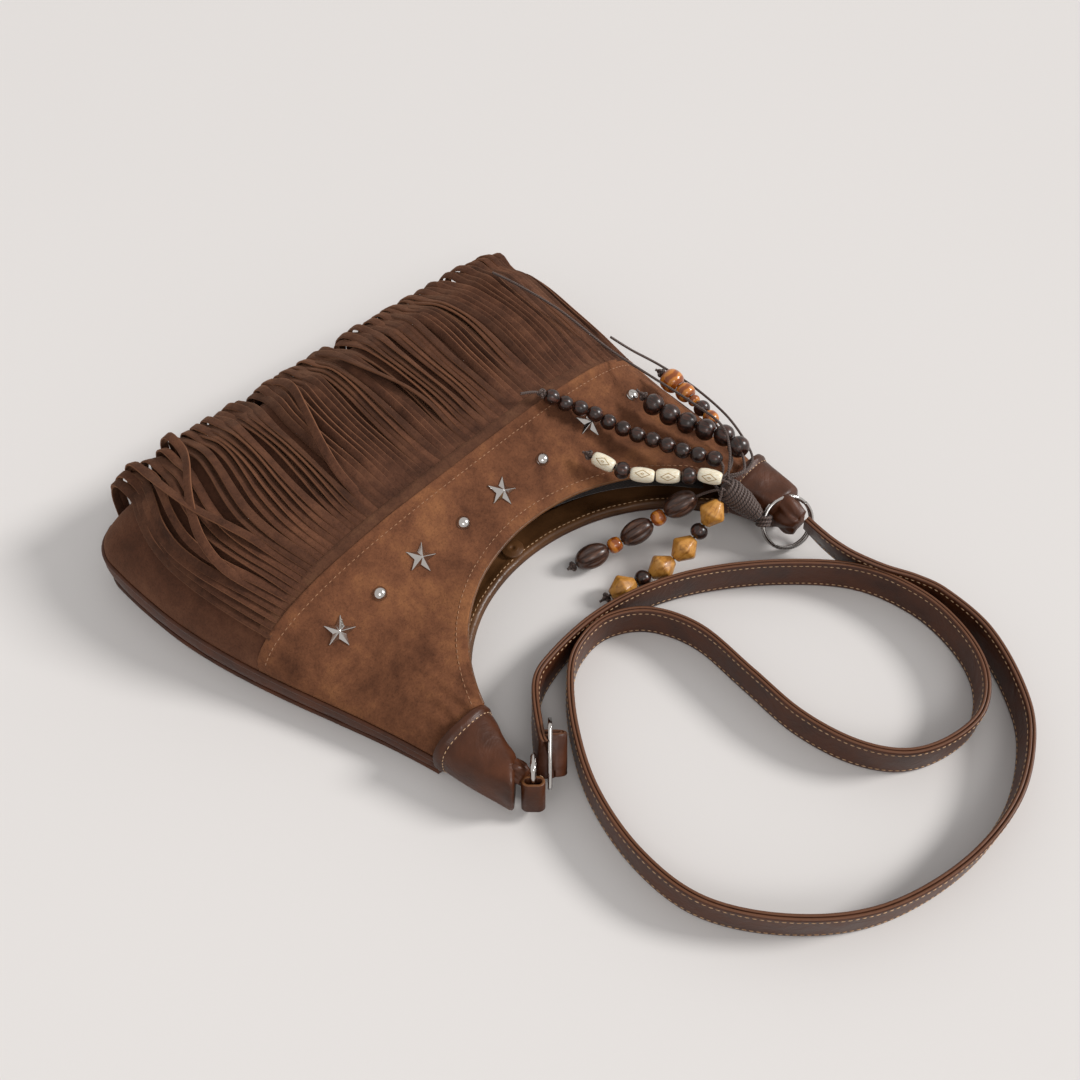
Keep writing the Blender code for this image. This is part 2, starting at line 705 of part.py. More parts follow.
def basis(rise):
    """Sideways, upwards-away and across directions of hardware that leans away from upright."""
    side = direction(*SIDEWAYS, 0)
    up = direction(AWAY[0] * math.cos(rise), AWAY[1] * math.cos(rise), math.sin(rise))
    return side, up, side.cross(up).normalized()


def ring_frame():
    normal = direction(*RING_NORMAL)
    first = Vector((0, 0, 1)).cross(normal).normalized()
    if first.x < 0:
        first = -first
    second = normal.cross(first).normalized()
    if second.z < 0:
        second = -second
    return first, second, normal


def ring_point(angle):
    first, second, _ = ring_frame()
    radius = (RING_OUTER - RING_WIRE) * MM
    return place(*RING_CENTRE) + (first * math.cos(angle) + second * math.sin(angle)) * radius


def split_ring():
    points = [ring_point(2 * math.pi * i / 24) for i in range(24)]
    tube("split_ring", points, RING_WIRE, CHROME, cyclic=True)


def rounded_rectangle(half_a, half_b, radius, steps=3):
    points = []
    for quarter, (sa, sb) in enumerate(((1, 1), (-1, 1), (-1, -1), (1, -1))):
        for i in range(steps + 1):
            angle = math.pi / 2 * (quarter + i / steps)
            points.append((sa * (half_a - radius) + radius * math.cos(angle),
                           sb * (half_b - radius) + radius * math.sin(angle)))
    return points


def tab_loop():
    """A leather loop that holds the rectangular ring's front bar."""
    side, up, across = basis(TAB_RISE)
    centre = place(*TAB_CENTRE)
    half_side, half_across, half_up = (s / 2 for s in TAB_SIZE)
    outer = rounded_rectangle(half_side, half_across, half_across * 0.95, 3)
    inner = rounded_rectangle(half_side - TAB_WALL, half_across - TAB_WALL, (half_across - TAB_WALL) * 0.95, 3)
    bm = bmesh.new()
    loops = []
    for shape, end in ((outer, 1), (outer, -1), (inner, -1), (inner, 1)):
        loops.append([bm.verts.new(centre + (side * a + across * b + up * half_up * end) * MM)
                      for a, b in shape])
    count = len(outer)
    for j in range(4):
        first, second = loops[j], loops[(j + 1) % 4]
        for i in range(count):
            bm.faces.new((first[i], first[(i + 1) % count], second[(i + 1) % count], second[i]))
    bmesh.ops.recalc_face_normals(bm, faces=bm.faces)
    mesh = bpy.data.meshes.new("tab_loop")
    bm.to_mesh(mesh)
    bm.free()
    link(bpy.data.objects.new("tab_loop", mesh), LEATHER_BROWN)


def rectangular_ring():
    side, up, across = basis(TAB_RISE)
    depth, length = LINK_SIZE
    bottom = TAB_SIZE[2] / 2 + LINK_WIRE + GAP + 0.4
    centre = place(*TAB_CENTRE) + (up * (length / 2 - bottom) - across * depth / 2) * MM
    points = [centre + (across * a + up * b) * MM for a, b in rounded_rectangle(depth / 2, length / 2, 2.2)]
    tube("rectangular_ring", points, LINK_WIRE, CHROME, cyclic=True)


def slide_adjuster():
    """A flat frame with a middle bar: one outline with two slots."""
    side, up, across = basis(SLIDER_RISE)
    width, length, thickness = SLIDER_SIZE
    slot = (width - 3 * SLIDER_BAR) / 2
    outlines = [(0.0, rounded_rectangle(width / 2, length / 2, 1.5))]
    for sign in (-1, 1):
        middle = sign * (slot + SLIDER_BAR) / 2
        outlines.append((middle, rounded_rectangle(slot / 2, length / 2 - SLIDER_BAR, 0.6, 1)))
    curve = bpy.data.curves.new("slide_adjuster", "CURVE")
    curve.dimensions = "2D"
    curve.fill_mode = "BOTH"
    curve.extrude = thickness / 2 * MM
    for middle, outline in outlines:
        spline = curve.splines.new("POLY")
        spline.points.add(len(outline) - 1)
        for point, (a, b) in zip(spline.points, outline):
            point.co = ((middle + a) * MM, b * MM, 0, 1)
        spline.use_cyclic_u = True
    obj = link(bpy.data.objects.new("slide_adjuster", curve), CHROME)
    turn = Matrix((across, up, -side)).transposed().to_4x4()
    obj.matrix_world = Matrix.Translation(place(*SLIDER_CENTRE)) @ turn


# Strap

def strap():
    """Two leather layers sewn together, standing on edge, folded round the slider's middle bar."""
    route = smooth_route(STRAP_ROUTE, STRAP_STEP)
    points = [place(*p) for p in route]
    upright = Vector((0, 0, 1))
    leaning = direction(-0.425, 0.406, 0.809)
    sides = []
    for i in range(len(points)):
        root = max(0.0, 1 - i / 5)
        end = smooth_step((i - len(points) + 6) / 5)
        _, slider_up, _ = basis(SLIDER_RISE)
        sides.append(upright.lerp(leaning, root).lerp(slider_up, end).normalized())
    side, up, across = basis(SLIDER_RISE)
    centre = place(*SLIDER_CENTRE)
    slot = (SLIDER_SIZE[0] - SLIDER_BAR) / 4
    fold = [(-4.0, slot)] + [(0.0, slot)]
    fold += [(2.6 + slot * math.sin(a), slot * math.cos(a)) for a in np.radians((0, 30, 60, 90, 120, 150, 180))]
    fold += [(0.0, -slot), (-4.2, -slot)]
    points += [centre + (side * a + across * b) * MM for a, b in fold]
    sides += [up] * len(fold)
    half = STRAP_WIDTH / 2 * MM
    rows = [[p - s * half for p, s in zip(points, sides)], [p + s * half for p, s in zip(points, sides)]]
    obj = sheet("strap", rows, STRAP_THICKNESS, STRAP_BROWN)
    obj.modifiers["thickness"].offset = 0


# Charm

def barrel_ends():
    start = ring_point(TIE_ANGLE)
    end = place(*BARREL_END)
    axis = (end - start).normalized()
    return start, start + axis * BARREL_START * MM, end, axis


def charm_barrel():
    knot, start, end, axis = barrel_ends()
    length = (end - start).length / MM
    profile = [(0.0, length)] + [(r, t * length) for t, r in reversed(BARREL_PROFILE)] + [(0.0, 0.0)]
    stand_on(turned("charm_wrap", profile, CORD_BROWN, 14), start, axis)
    first, second, normal = ring_frame()
    tangent = (second * math.cos(TIE_ANGLE) - first * math.sin(TIE_ANGLE)).normalized()
    across = tangent.cross(axis).normalized()
    inwards = across.cross(tangent).normalized()
    loop = [knot + (across * math.cos(a) + inwards * math.sin(a)) * TIE_RADIUS * MM
            for a in np.linspace(0, 2 * math.pi, 12, endpoint=False)]
    tube("charm_tie", loop, TIE_WIRE, CORD_BROWN, cyclic=True)


def leaving(degrees):
    """The first two points of a cord that leaves the barrel's end at an angle round its axis."""
    _, _, end, axis = barrel_ends()
    level = axis.cross(Vector((0, 0, 1))).normalized()
    upper = level.cross(axis)
    angle = math.radians(degrees)
    edge = end + (level * math.cos(angle) + upper * math.sin(angle)) * EXIT_RADIUS * MM
    points = [edge + axis * d * MM for d in (0.7, 3.0)]
    return [(p.x / MM + FRAME_X, FRAME_H - p.y / MM, p.z / MM) for p in points]


def bead_outline(radius, length, end_share):
    """Half section of a bead's outer side as (distance from its middle, radius)."""
    half = length / 2
    if end_share < 0.3:
        return [(half, radius * end_share), (half * 0.1, radius), (-half * 0.1, radius), (-half, radius * end_share)]
    return [(half * t, radius * math.sqrt(1 - t * t * (1 - end_share**2))) for t in (1.0, 0.5, -0.5, -1.0)]


def bored_bead(name, kind):
    outer = [(r, z) for z, r in bead_outline(*BEADS[kind])]
    half = BEADS[kind][1] / 2
    bore = LONG_BORE_RADIUS if half > 6 else BORE_RADIUS
    return turned(name, outer + [(bore, -half), (bore, half)], BEAD_MATERIALS[kind], 8)


def strand(name, spec):
    """A cord with a knot near its free end and beads threaded on it from the knot inwards."""
    route = smooth_route(leaving(spec["exit"]) + list(spec["route"]), 1.0)[::-1]
    along = np.concatenate([[0], np.cumsum(np.linalg.norm(np.diff(route, axis=0), axis=1))])

    def at(distance):
        return Vector([float(np.interp(distance, along, route[:, k])) for k in range(3)])

    fused = spec.get("fused", False)
    knot = spec["knot_at"]
    bulge = ((-1.0, CORD_RADIUS), (-0.75, 0.7 * KNOT_RADIUS), (0.0, KNOT_RADIUS),
             (0.75, 0.7 * KNOT_RADIUS), (1.0, CORD_RADIUS))
    stops = [(knot + KNOT_RADIUS * t, r) for t, r in bulge]
    distance = stops[-1][0] + BEAD_GAP
    for number, kind in enumerate(spec["beads"], 1):
        middle = distance + BEADS[kind][1] / 2
        distance += BEADS[kind][1] + BEAD_GAP
        if fused:
            stops += [(middle - z, r) for z, r in bead_outline(*BEADS[kind])]
            stops.append((distance - BEAD_GAP / 2, CORD_RADIUS))
            continue
        axis = (place(*at(middle + 2)) - place(*at(middle - 2))).normalized()
        stand_on(bored_bead(f"{name}_bead_{number}", kind), place(*at(middle)), axis)
    before = np.arange(0.0, stops[0][0] - CORD_STEP / 2, CORD_STEP)
    after = np.linspace(stops[-1][0], along[-1], math.ceil((along[-1] - stops[-1][0]) / CORD_STEP) + 1)[1:]
    stops = [(d, CORD_RADIUS) for d in before] + stops + [(d, CORD_RADIUS) for d in after]
    label = f"{name}_strand" if fused else f"{name}_cord"
    obj = tube(label, [place(*at(d)) for d, _ in stops], CORD_RADIUS, DARK_WOOD if fused else CORD_BROWN)
    for point, (_, radius) in zip(obj.data.splines[0].points, stops):
        point.radius = radius / CORD_RADIUS


def charm():
    charm_barrel()
    for name, spec in STRANDS.items():
        strand(name, spec)
    for name, (exit_angle, *route) in LOOSE_CORDS.items():
        points = smooth_route(leaving(exit_angle) + route, CORD_STEP)
        tube(name, [place(*p) for p in points], CORD_RADIUS, CORD_BROWN)


back_panel()
gusset()
lower_front_panel()
yoke_panel()
facings()
lining()
magnetic_snap()
fringe()
studs()
horns()
split_ring()
tab_loop()
rectangular_ring()
slide_adjuster()
strap()
charm()
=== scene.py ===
# Fringed suede shoulder bag lying on its back, with studs, a looped strap and a charm of beaded cords.
import math
import random

import bmesh
import bpy
import numpy as np
from mathutils import Matrix, Vector, noise


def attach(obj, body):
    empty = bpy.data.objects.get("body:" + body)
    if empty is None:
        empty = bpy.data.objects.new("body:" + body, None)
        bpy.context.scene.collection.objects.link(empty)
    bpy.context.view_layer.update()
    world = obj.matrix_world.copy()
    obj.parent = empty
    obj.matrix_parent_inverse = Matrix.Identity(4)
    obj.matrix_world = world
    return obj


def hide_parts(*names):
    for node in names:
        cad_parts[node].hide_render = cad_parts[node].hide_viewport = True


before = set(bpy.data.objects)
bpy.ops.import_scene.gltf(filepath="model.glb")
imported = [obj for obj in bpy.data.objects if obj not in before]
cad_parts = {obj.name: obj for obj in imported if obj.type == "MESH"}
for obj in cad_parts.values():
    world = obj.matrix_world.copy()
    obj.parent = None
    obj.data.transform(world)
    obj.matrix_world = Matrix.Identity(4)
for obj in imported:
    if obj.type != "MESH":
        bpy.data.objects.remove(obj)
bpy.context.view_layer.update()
mm = 0.001
dice = random.Random(11)

# shape of the bag, the same sizes as the CAD, in mm
# a point is x across, h up from the bottom edge to the horns, z above the floor
bag = dict(
    frameX=-13.0, frameH=116.475, halfWidth=145.0, capHalfWidth=119.0, capLine=208.0, corner=20.0,
    taperStart=30.0,
    mouthHalfWidth=95.0, mouthCentre=235.0, mouthDepth=83.0, seamLine=114.0, slumpShift=13.0, hornShift=3.5,
    slumpTurn=0.05, slumpLine=131.0, belly=64.0, bellyLine=55.0, bottomDrop=6.0, seamCrown=55.0, lip=34.0,
    edgeLow=22.0, edgeCap=12.0, bottomRound=26.0, fullness=3.2, leather=1.8, facing=1.2, gap=0.4,
)


def place(x, h, z):
    return Vector((x - bag["frameX"], bag["frameH"] - h, z)) * mm


def heading(x, h, z):
    return Vector((x, -h, z)).normalized()


def smoothStep(t):
    t = min(1.0, max(0.0, t))
    return t * t * (3 - 2 * t)


def bagPoint(x, h, z):
    # the soft body slides and turns a little as it lies
    along = smoothStep((h - bag["bellyLine"]) / (bag["capLine"] - bag["bellyLine"]))
    shift = (bag["slumpShift"] + bag["hornShift"]) * along - bag["slumpShift"]
    turn = bag["slumpTurn"] * max(0.0, 1 - h / bag["slumpLine"])
    return place(x + shift, h + turn * x, z)


def halfWidthAt(h):
    taper = max(0.0, h - bag["taperStart"]) / (bag["capLine"] - bag["taperStart"])
    width = bag["halfWidth"] - (bag["halfWidth"] - bag["capHalfWidth"]) * taper**1.5
    if h < bag["corner"]:
        width -= bag["corner"] - math.sqrt(max(0.0, bag["corner"]**2 - (bag["corner"] - max(h, 0.0))**2))
    return width


def edgeHeightAt(h):
    return bag["edgeLow"] + (bag["edgeCap"] - bag["edgeLow"]) * min(1.0, max(0.0, h / bag["capLine"]))


def crownAt(h):
    if h < bag["bellyLine"]:
        return bag["belly"] - bag["bottomDrop"] * ((bag["bellyLine"] - h) / bag["bellyLine"])**2
    if h < bag["seamLine"]:
        part = (h - bag["bellyLine"]) / (bag["seamLine"] - bag["bellyLine"])
        return bag["belly"] - (bag["belly"] - bag["seamCrown"]) * part**2
    mouthLine = bag["mouthCentre"] - bag["mouthDepth"]
    fall = max(0.0, 1 - (h - bag["seamLine"]) / (mouthLine - bag["seamLine"]))
    return bag["lip"] + (bag["seamCrown"] - bag["lip"]) * fall**1.4


def frontHeight(x, h):
    edge = edgeHeightAt(h)
    across = min(1.0, abs(x) / halfWidthAt(max(h, 0.0)))
    rise = math.sqrt(max(0.0, 1 - across**bag["fullness"]))
    if h < bag["bottomRound"]:
        rise *= math.sqrt(max(0.0, 1 - (1 - max(h, 0.0) / bag["bottomRound"])**2))
    return edge + (crownAt(h) - edge) * rise


def frontNormal(x, h):
    across = bagPoint(x + 2, h, frontHeight(x + 2, h)) - bagPoint(x - 2, h, frontHeight(x - 2, h))
    along = bagPoint(x, h + 2, frontHeight(x, h + 2)) - bagPoint(x, h - 2, frontHeight(x, h - 2))
    return along.cross(across).normalized()


def mouthPoint(t, inset=0.0):
    # the crescent mouth's edge, t from 0 at the left cap to 1 at the right one
    end = math.acos((bag["mouthCentre"] - bag["capLine"] + bag["gap"]) / bag["mouthDepth"])
    angle = end * (2 * t - 1)
    x, h = bag["mouthHalfWidth"] * math.sin(angle), bag["mouthCentre"] - bag["mouthDepth"] * math.cos(angle)
    out = Vector((x / bag["mouthHalfWidth"]**2, (h - bag["mouthCentre"]) / bag["mouthDepth"]**2)).normalized()
    return x + out.x * inset, h + out.y * inset


def outline(low, sideCount, bottomCount):
    # from the left cap down the side, along the line h = low, and up to the right cap
    top = bag["capLine"] - bag["gap"]
    heights = [low + (top - low) * (i / (sideCount - 1))**1.35 for i in range(sideCount)]
    width = halfWidthAt(low)
    line = [(-halfWidthAt(h), h) for h in reversed(heights)]
    line += [(width * (2 * i / bottomCount - 1), low) for i in range(1, bottomCount)]
    return line + [(halfWidthAt(h), h) for h in heights]


def smoothRoute(points, step):
    # points about step apart on a smooth curve through the given ones
    given = np.array(points, float)
    ends = np.vstack([2 * given[0] - given[1], given, 2 * given[-1] - given[-2]])
    fine = []
    for a, b, c, d in zip(ends, ends[1:], ends[2:], ends[3:]):
        for t in np.linspace(0, 1, 12, endpoint=False):
            fine.append(0.5 * (2 * b + (c - a) * t + (2 * a - 5 * b + 4 * c - d) * t**2
                               + (3 * b - a - 3 * c + d) * t**3))
    fine = np.array(fine + [given[-1]])
    along = np.concatenate([[0], np.cumsum(np.linalg.norm(np.diff(fine, axis=0), axis=1))])
    stops = np.linspace(0, along[-1], max(2, round(along[-1] / step) + 1))
    return np.stack([np.interp(stops, along, fine[:, k]) for k in range(3)], axis=1)


def between(start, end, t):
    return tuple(a + (b - a) * t for a, b in zip(start, end))


def soft(x, y, z, size):
    # gentle noise from -1 to 1 with lumps of about size mm
    return noise.noise(Vector((x, y, z)) / size)


# nodes and colours
def srgb(code):
    parts = [int(code[i:i + 2], 16) / 255 for i in (1, 3, 5)]
    return tuple(c / 12.92 if c <= 0.04045 else ((c + 0.055) / 1.055)**2.4 for c in parts) + (1.0,)


def perMetre(size):
    # texture scale for features of about size mm on Object coordinates
    return 1000.0 / size


def addNode(tree, kind, links=None, **settings):
    node = tree.nodes.new(kind)
    for key, value in settings.items():
        setattr(node, key, value)
    for socket, value in (links or {}).items():
        if isinstance(value, bpy.types.NodeSocket):
            tree.links.new(value, node.inputs[socket])
        else:
            node.inputs[socket].default_value = value
    return node


def addMath(tree, operation, *values):
    return addNode(tree, "ShaderNodeMath", dict(enumerate(values)), operation=operation).outputs[0]


def addNoise(tree, place, scale, **sockets):
    return addNode(tree, "ShaderNodeTexNoise", dict(sockets, Vector=place, Scale=scale)).outputs["Fac"]


def addRamp(tree, source, stops):
    # a stop is a position and a colour or a grey
    node = addNode(tree, "ShaderNodeValToRGB", {"Fac": source})
    ramp = node.color_ramp
    ramp.elements[0].position, ramp.elements[1].position = stops[0][0], stops[-1][0]
    for position, _ in stops[1:-1]:
        ramp.elements.new(position)
    for element, (_, colour) in zip(ramp.elements, stops):
        element.color = srgb(colour) if isinstance(colour, str) else (colour, colour, colour, 1)
    return node.outputs["Color"]


def addRange(tree, source, low, high, toLow, toHigh):
    return addNode(tree, "ShaderNodeMapRange", {"Value": source, "From Min": low, "From Max": high,
                                               "To Min": toLow, "To Max": toHigh}).outputs["Result"]


def addMix(tree, share, first, second, blend="MIX"):
    return addNode(tree, "ShaderNodeMix", {0: share, 6: first, 7: second}, data_type="RGBA",
                   blend_type=blend).outputs[2]


def addBump(tree, height, strength, distance, under=None, **settings):
    links = {"Height": height, "Strength": strength, "Distance": distance}
    if under is not None:
        links["Normal"] = under
    return addNode(tree, "ShaderNodeBump", links, **settings).outputs["Normal"]


def addAttributeNode(tree, name, output="Fac"):
    return addNode(tree, "ShaderNodeAttribute", attribute_name=name).outputs[output]


def objectPlace(tree):
    return addNode(tree, "ShaderNodeTexCoord").outputs["Object"]


def startMaterial(name, roughness=0.5, **sockets):
    made = bpy.data.materials.new(name)
    made.use_nodes = True
    shader = made.node_tree.nodes["Principled BSDF"]
    shader.inputs["Roughness"].default_value = roughness
    for key, value in sockets.items():
        shader.inputs[key.replace("_", " ")].default_value = value
    return made, made.node_tree, shader


# materials
def finishMaterial(made, shader, colour=None, normal=None, roughness=None):
    for socket, source in (("Base Color", colour), ("Normal", normal), ("Roughness", roughness)):
        if source is not None:
            made.node_tree.links.new(source, shader.inputs[socket])
    return made


def makeSuede(name, colours, patchSize, edgeColour=None):
    # split-leather suede: matte, with brushed patches of light and dark nap and a fine fuzz
    made, tree, shader = startMaterial(name, 0.93, Specular_IOR_Level=0.2, Sheen_Weight=0.25,
                                       Sheen_Roughness=0.45, Sheen_Tint=srgb("#C08A63"))
    spot = objectPlace(tree)
    patches = addNoise(tree, spot, perMetre(patchSize), Detail=8.0, Roughness=0.72, Distortion=0.15)
    fuzz = addNoise(tree, spot, perMetre(1.1), Detail=4.0, Roughness=0.75)
    colour = addRamp(tree, patches, ((0.3, colours[0]), (0.5, colours[1]), (0.7, colours[2])))
    fuzzShade = addRamp(tree, fuzz, ((0.28, 0.45), (0.5, 0.92), (0.72, 1.0)))
    colour = addMix(tree, 0.75, colour, fuzzShade, "MULTIPLY")
    if edgeColour:
        # cut edges show the pale core of the split, and each strip has its own shade
        atEdge = addRamp(tree, addAttributeNode(tree, "bandAcross"), ((0.74, 0.0), (0.92, 1.0)))
        colour = addMix(tree, atEdge, colour, srgb(edgeColour))
        stripShade = addRamp(tree, addAttributeNode(tree, "bandShade"), ((0.0, 0.58), (1.0, 1.0)))
        colour = addMix(tree, 1.0, colour, stripShade, "MULTIPLY")
    nap = addBump(tree, fuzz, 0.4, 0.0006)
    return finishMaterial(made, shader, colour, addBump(tree, patches, 0.3, 0.002, nap))


def makeLeather(name, colours, roughness, grain=0.9, crease=9.0, edgeColour=None, edgeFrom=0.88):
    # coated leather: a fine pebble grain, soft creases and a satin shine
    made, tree, shader = startMaterial(name, roughness, Specular_IOR_Level=0.32)
    spot = objectPlace(tree)
    cloudy = addNoise(tree, spot, perMetre(14), Detail=4.0)
    pebble = addNode(tree, "ShaderNodeTexVoronoi",
                     {"Vector": spot, "Scale": perMetre(grain), "Smoothness": 0.6}, feature="SMOOTH_F1")
    creases = addNoise(tree, spot, perMetre(crease), Detail=2.0, Distortion=1.5)
    colour = addRamp(tree, cloudy, ((0.32, colours[0]), (0.68, colours[1])))
    if edgeColour:
        stops = ((edgeFrom, 0.0), (edgeFrom + 0.06, 1.0))
        atEdge = addRamp(tree, addAttributeNode(tree, "bandAcross"), stops)
        colour = addMix(tree, atEdge, colour, srgb(edgeColour))
    rough = addRange(tree, cloudy, 0.3, 0.7, roughness - 0.06, roughness + 0.08)
    fine = addBump(tree, pebble.outputs["Distance"], 0.16, 0.0003)
    return finishMaterial(made, shader, colour, addBump(tree, creases, 0.25, 0.0015, fine), rough)


def makeChrome():
    # polished chrome plate: nearly a mirror, with faint wiping marks
    made, tree, shader = startMaterial("chromePlate", 0.1, Metallic=1.0, Base_Color=srgb("#BDBBB9"))
    marks = addNoise(tree, objectPlace(tree), perMetre(2.5), Detail=6.0)
    return finishMaterial(made, shader, roughness=addRange(tree, marks, 0.0, 1.0, 0.05, 0.22))


def makeThread(name, light, dark):
    # bonded polyester sewing thread: satin, with a twist that breaks the light
    made, tree, shader = startMaterial(name, 0.6, Sheen_Weight=0.2)
    twist = addNoise(tree, objectPlace(tree), perMetre(0.9), Detail=2.0)
    return finishMaterial(made, shader, addRamp(tree, twist, ((0.35, dark), (0.65, light))))


def makeCord():
    # waxed cotton cord: two plies twisted, dull with a waxy highlight
    made, tree, shader = startMaterial("waxedCord", 0.5, Sheen_Weight=0.15)
    # one turn of the twist every 2.6 mm, drawn a little coarse so that it shows
    turns = addMath(tree, "MULTIPLY", addAttributeNode(tree, "bandAlong"), 1 / 2.6)
    spun = addMath(tree, "ADD", turns, addAttributeNode(tree, "bandAround"))
    ply = addMath(tree, "SINE", addMath(tree, "MULTIPLY", spun, 4 * math.pi))
    height = addRange(tree, ply, -1.0, 1.0, 0.0, 1.0)
    # painted shade and painted highlight: the colour is darker where the plies dip and lighter on their crowns
    colour = addRamp(tree, height, ((0.1, "#2B1E19"), (0.7, "#58433A")))
    return finishMaterial(made, shader, colour, addBump(tree, height, 0.5, 0.0003))


def makeBeadWood(name, colours, roughness, coat, across, lengthwise, bands=False):
    # turned wood, lacquered: grain drawn in each bead's own coordinates so that it runs with the bore
    made, tree, shader = startMaterial(name, roughness, Coat_Weight=coat, Coat_Roughness=0.08)
    shade = addAttributeNode(tree, "beadShade")
    far = addNode(tree, "ShaderNodeVectorMath", {0: (31.0, 17.0, 7.0), "Scale": shade}, operation="SCALE")
    apart = addNode(tree, "ShaderNodeVectorMath", {0: addAttributeNode(tree, "ownPlace", "Vector"),
                                                   1: far.outputs[0]}, operation="ADD")
    stretch = (1 / across, 1 / across, 1 / lengthwise)
    spot = addNode(tree, "ShaderNodeMapping", {"Vector": apart.outputs[0], "Scale": stretch}).outputs[0]
    if bands:
        # tiger stripes: bands across the bead, bent by the grain
        waves = {"Vector": spot, "Scale": 1.0, "Distortion": 3.5, "Detail": 3.0, "Detail Scale": 1.2}
        grain = addNode(tree, "ShaderNodeTexWave", waves, bands_direction="Z").outputs["Fac"]
    else:
        grain = addNoise(tree, spot, 1.0, Detail=4.0, Distortion=0.8)
    colour = addRamp(tree, grain, ((0.25, colours[0]), (0.5, colours[1]), (0.78, colours[2])))
    return finishMaterial(made, shader, colour, addBump(tree, grain, 0.12, 0.0002))


def makeBone():
    # polished bone: ivory with fine lines along it, and engraved lozenges rubbed with gold-brown stain
    made, tree, shader = startMaterial("engravedBone", 0.32, Subsurface_Weight=0.08,
                                       Subsurface_Radius=(0.002, 0.0014, 0.0009))
    own = addAttributeNode(tree, "ownPlace", "Vector")
    fine = addNode(tree, "ShaderNodeMapping", {"Vector": own, "Scale": (3.0, 3.0, 0.35)}).outputs["Vector"]
    lines = addNoise(tree, fine, 1.0, Detail=3.0)
    ivory = addRamp(tree, lines, ((0.3, "#DCC9A4"), (0.55, "#EFE5CE"), (0.8, "#F4ECD9")))
    # three lozenges round the bead, each with a ring in it, about 8 mm long
    # their lines are drawn 0.5 mm wide so that they show
    parts = addNode(tree, "ShaderNodeSeparateXYZ", {0: own}).outputs
    angle = addMath(tree, "ARCTAN2", parts["Y"], parts["X"])
    sector = addMath(tree, "ABSOLUTE", addMath(tree, "WRAP", angle, math.pi / 3, -math.pi / 3))
    sideways = addMath(tree, "MULTIPLY", sector, 3.8 / 2.3)
    lengthways = addMath(tree, "MULTIPLY", addMath(tree, "ABSOLUTE", parts["Z"]), 1 / 4.3)
    cuts = addRamp(tree, addMath(tree, "ADD", sideways, lengthways), (
        (0.0, 0.0), (0.1, 0.0), (0.14, 1.0), (0.22, 1.0), (0.27, 0.0), (0.76, 0.0), (0.82, 1.0), (0.93, 1.0),
        (0.99, 0.0)))
    colour = addMix(tree, cuts, ivory, srgb("#9A7326"))
    return finishMaterial(made, shader, colour, addBump(tree, cuts, 0.4, 0.0003, invert=True))


def makeLining():
    # plain-woven polyester lining: 0.5 mm threads, drawn at 0.8 mm so that the weave shows
    made, tree, shader = startMaterial("liningCloth", 0.75, Sheen_Weight=0.3)
    spot = objectPlace(tree)
    warp, weft = (addNode(tree, "ShaderNodeTexWave", {"Vector": spot, "Scale": perMetre(0.8) / 6.28},
                          bands_direction=way).outputs["Fac"] for way in "XY")
    weave = addMath(tree, "MULTIPLY", warp, weft)
    colour = addRamp(tree, weave, ((0.0, "#1E1714"), (1.0, "#3A2C25")))
    return finishMaterial(made, shader, colour, addBump(tree, weave, 0.3, 0.0003))


finishes = dict(
    suede=makeSuede("brushedSuede", ("#4A2B1C", "#734830", "#96633F"), 30),
    lowerSuede=makeSuede("foldedSuede", ("#3F261A", "#573525", "#6B4531"), 34),
    fringe=makeSuede("cutSuede", ("#42281C", "#5E3B2A", "#754C36"), 16, "#80553C"),
    leather=makeLeather("coatedLeather", ("#391B0A", "#522A13"), 0.42),
    facing=makeLeather("facingLeather", ("#4A2F1A", "#644226"), 0.32, 0.9, 16.0),
    strap=makeLeather("strapLeather", ("#3A1D0F", "#512C19"), 0.42, 0.8, 12.0, "#664029"),
    turnedEdge=makeLeather("turnedEdge", ("#543319", "#704624"), 0.42),
    header=makeSuede("headerSuede", ("#3D261B", "#5A3928", "#6C4933"), 16),
    chrome=makeChrome(),
    tanThread=makeThread("tanThread", "#D2AC86", "#B08860"),
    brownThread=makeThread("brownThread", "#A87A55", "#8A5F40"),
    cord=makeCord(),
    darkWood=makeBeadWood("darkStainedWood", ("#0E0705", "#24120D", "#5E3222"), 0.3, 0.12, 1.6, 7.0),
    ovalWood=makeBeadWood("smokedWood", ("#1C0F0A", "#3C241A", "#6B452F"), 0.36, 0.1, 1.3, 10.0),
    amberWood=makeBeadWood("amberStainedWood", ("#8A430E", "#A95A15", "#C87A2A"), 0.22, 0.3, 9.0, 16.0, True),
    lightWood=makeBeadWood("pineWood", ("#8C571D", "#BF8337", "#D59E50"), 0.4, 0.15, 2.2, 12.0),
    bone=makeBone(),
    lining=makeLining(),
)
print("stage: materials")


# pieces
def finishPiece(obj, slotName, *nodes):
    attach(obj, "root")
    if nodes:
        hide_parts(*nodes)
    return obj


def linkObject(name, data):
    obj = bpy.data.objects.new(name, data)
    bpy.context.scene.collection.objects.link(obj)
    return obj


def newMesh(name, vertices, faces, material, smooth=True):
    data = bpy.data.meshes.new(name)
    data.from_pydata([tuple(v) for v in vertices], [], faces)
    data.materials.append(material)
    if smooth:
        data.shade_smooth()
    return linkObject(name, data)


def tidyNormals(obj):
    made = bmesh.new()
    made.from_mesh(obj.data)
    bmesh.ops.remove_doubles(made, verts=made.verts, dist=1e-6)
    bmesh.ops.recalc_face_normals(made, faces=made.faces)
    made.to_mesh(obj.data)
    made.free()
    return obj


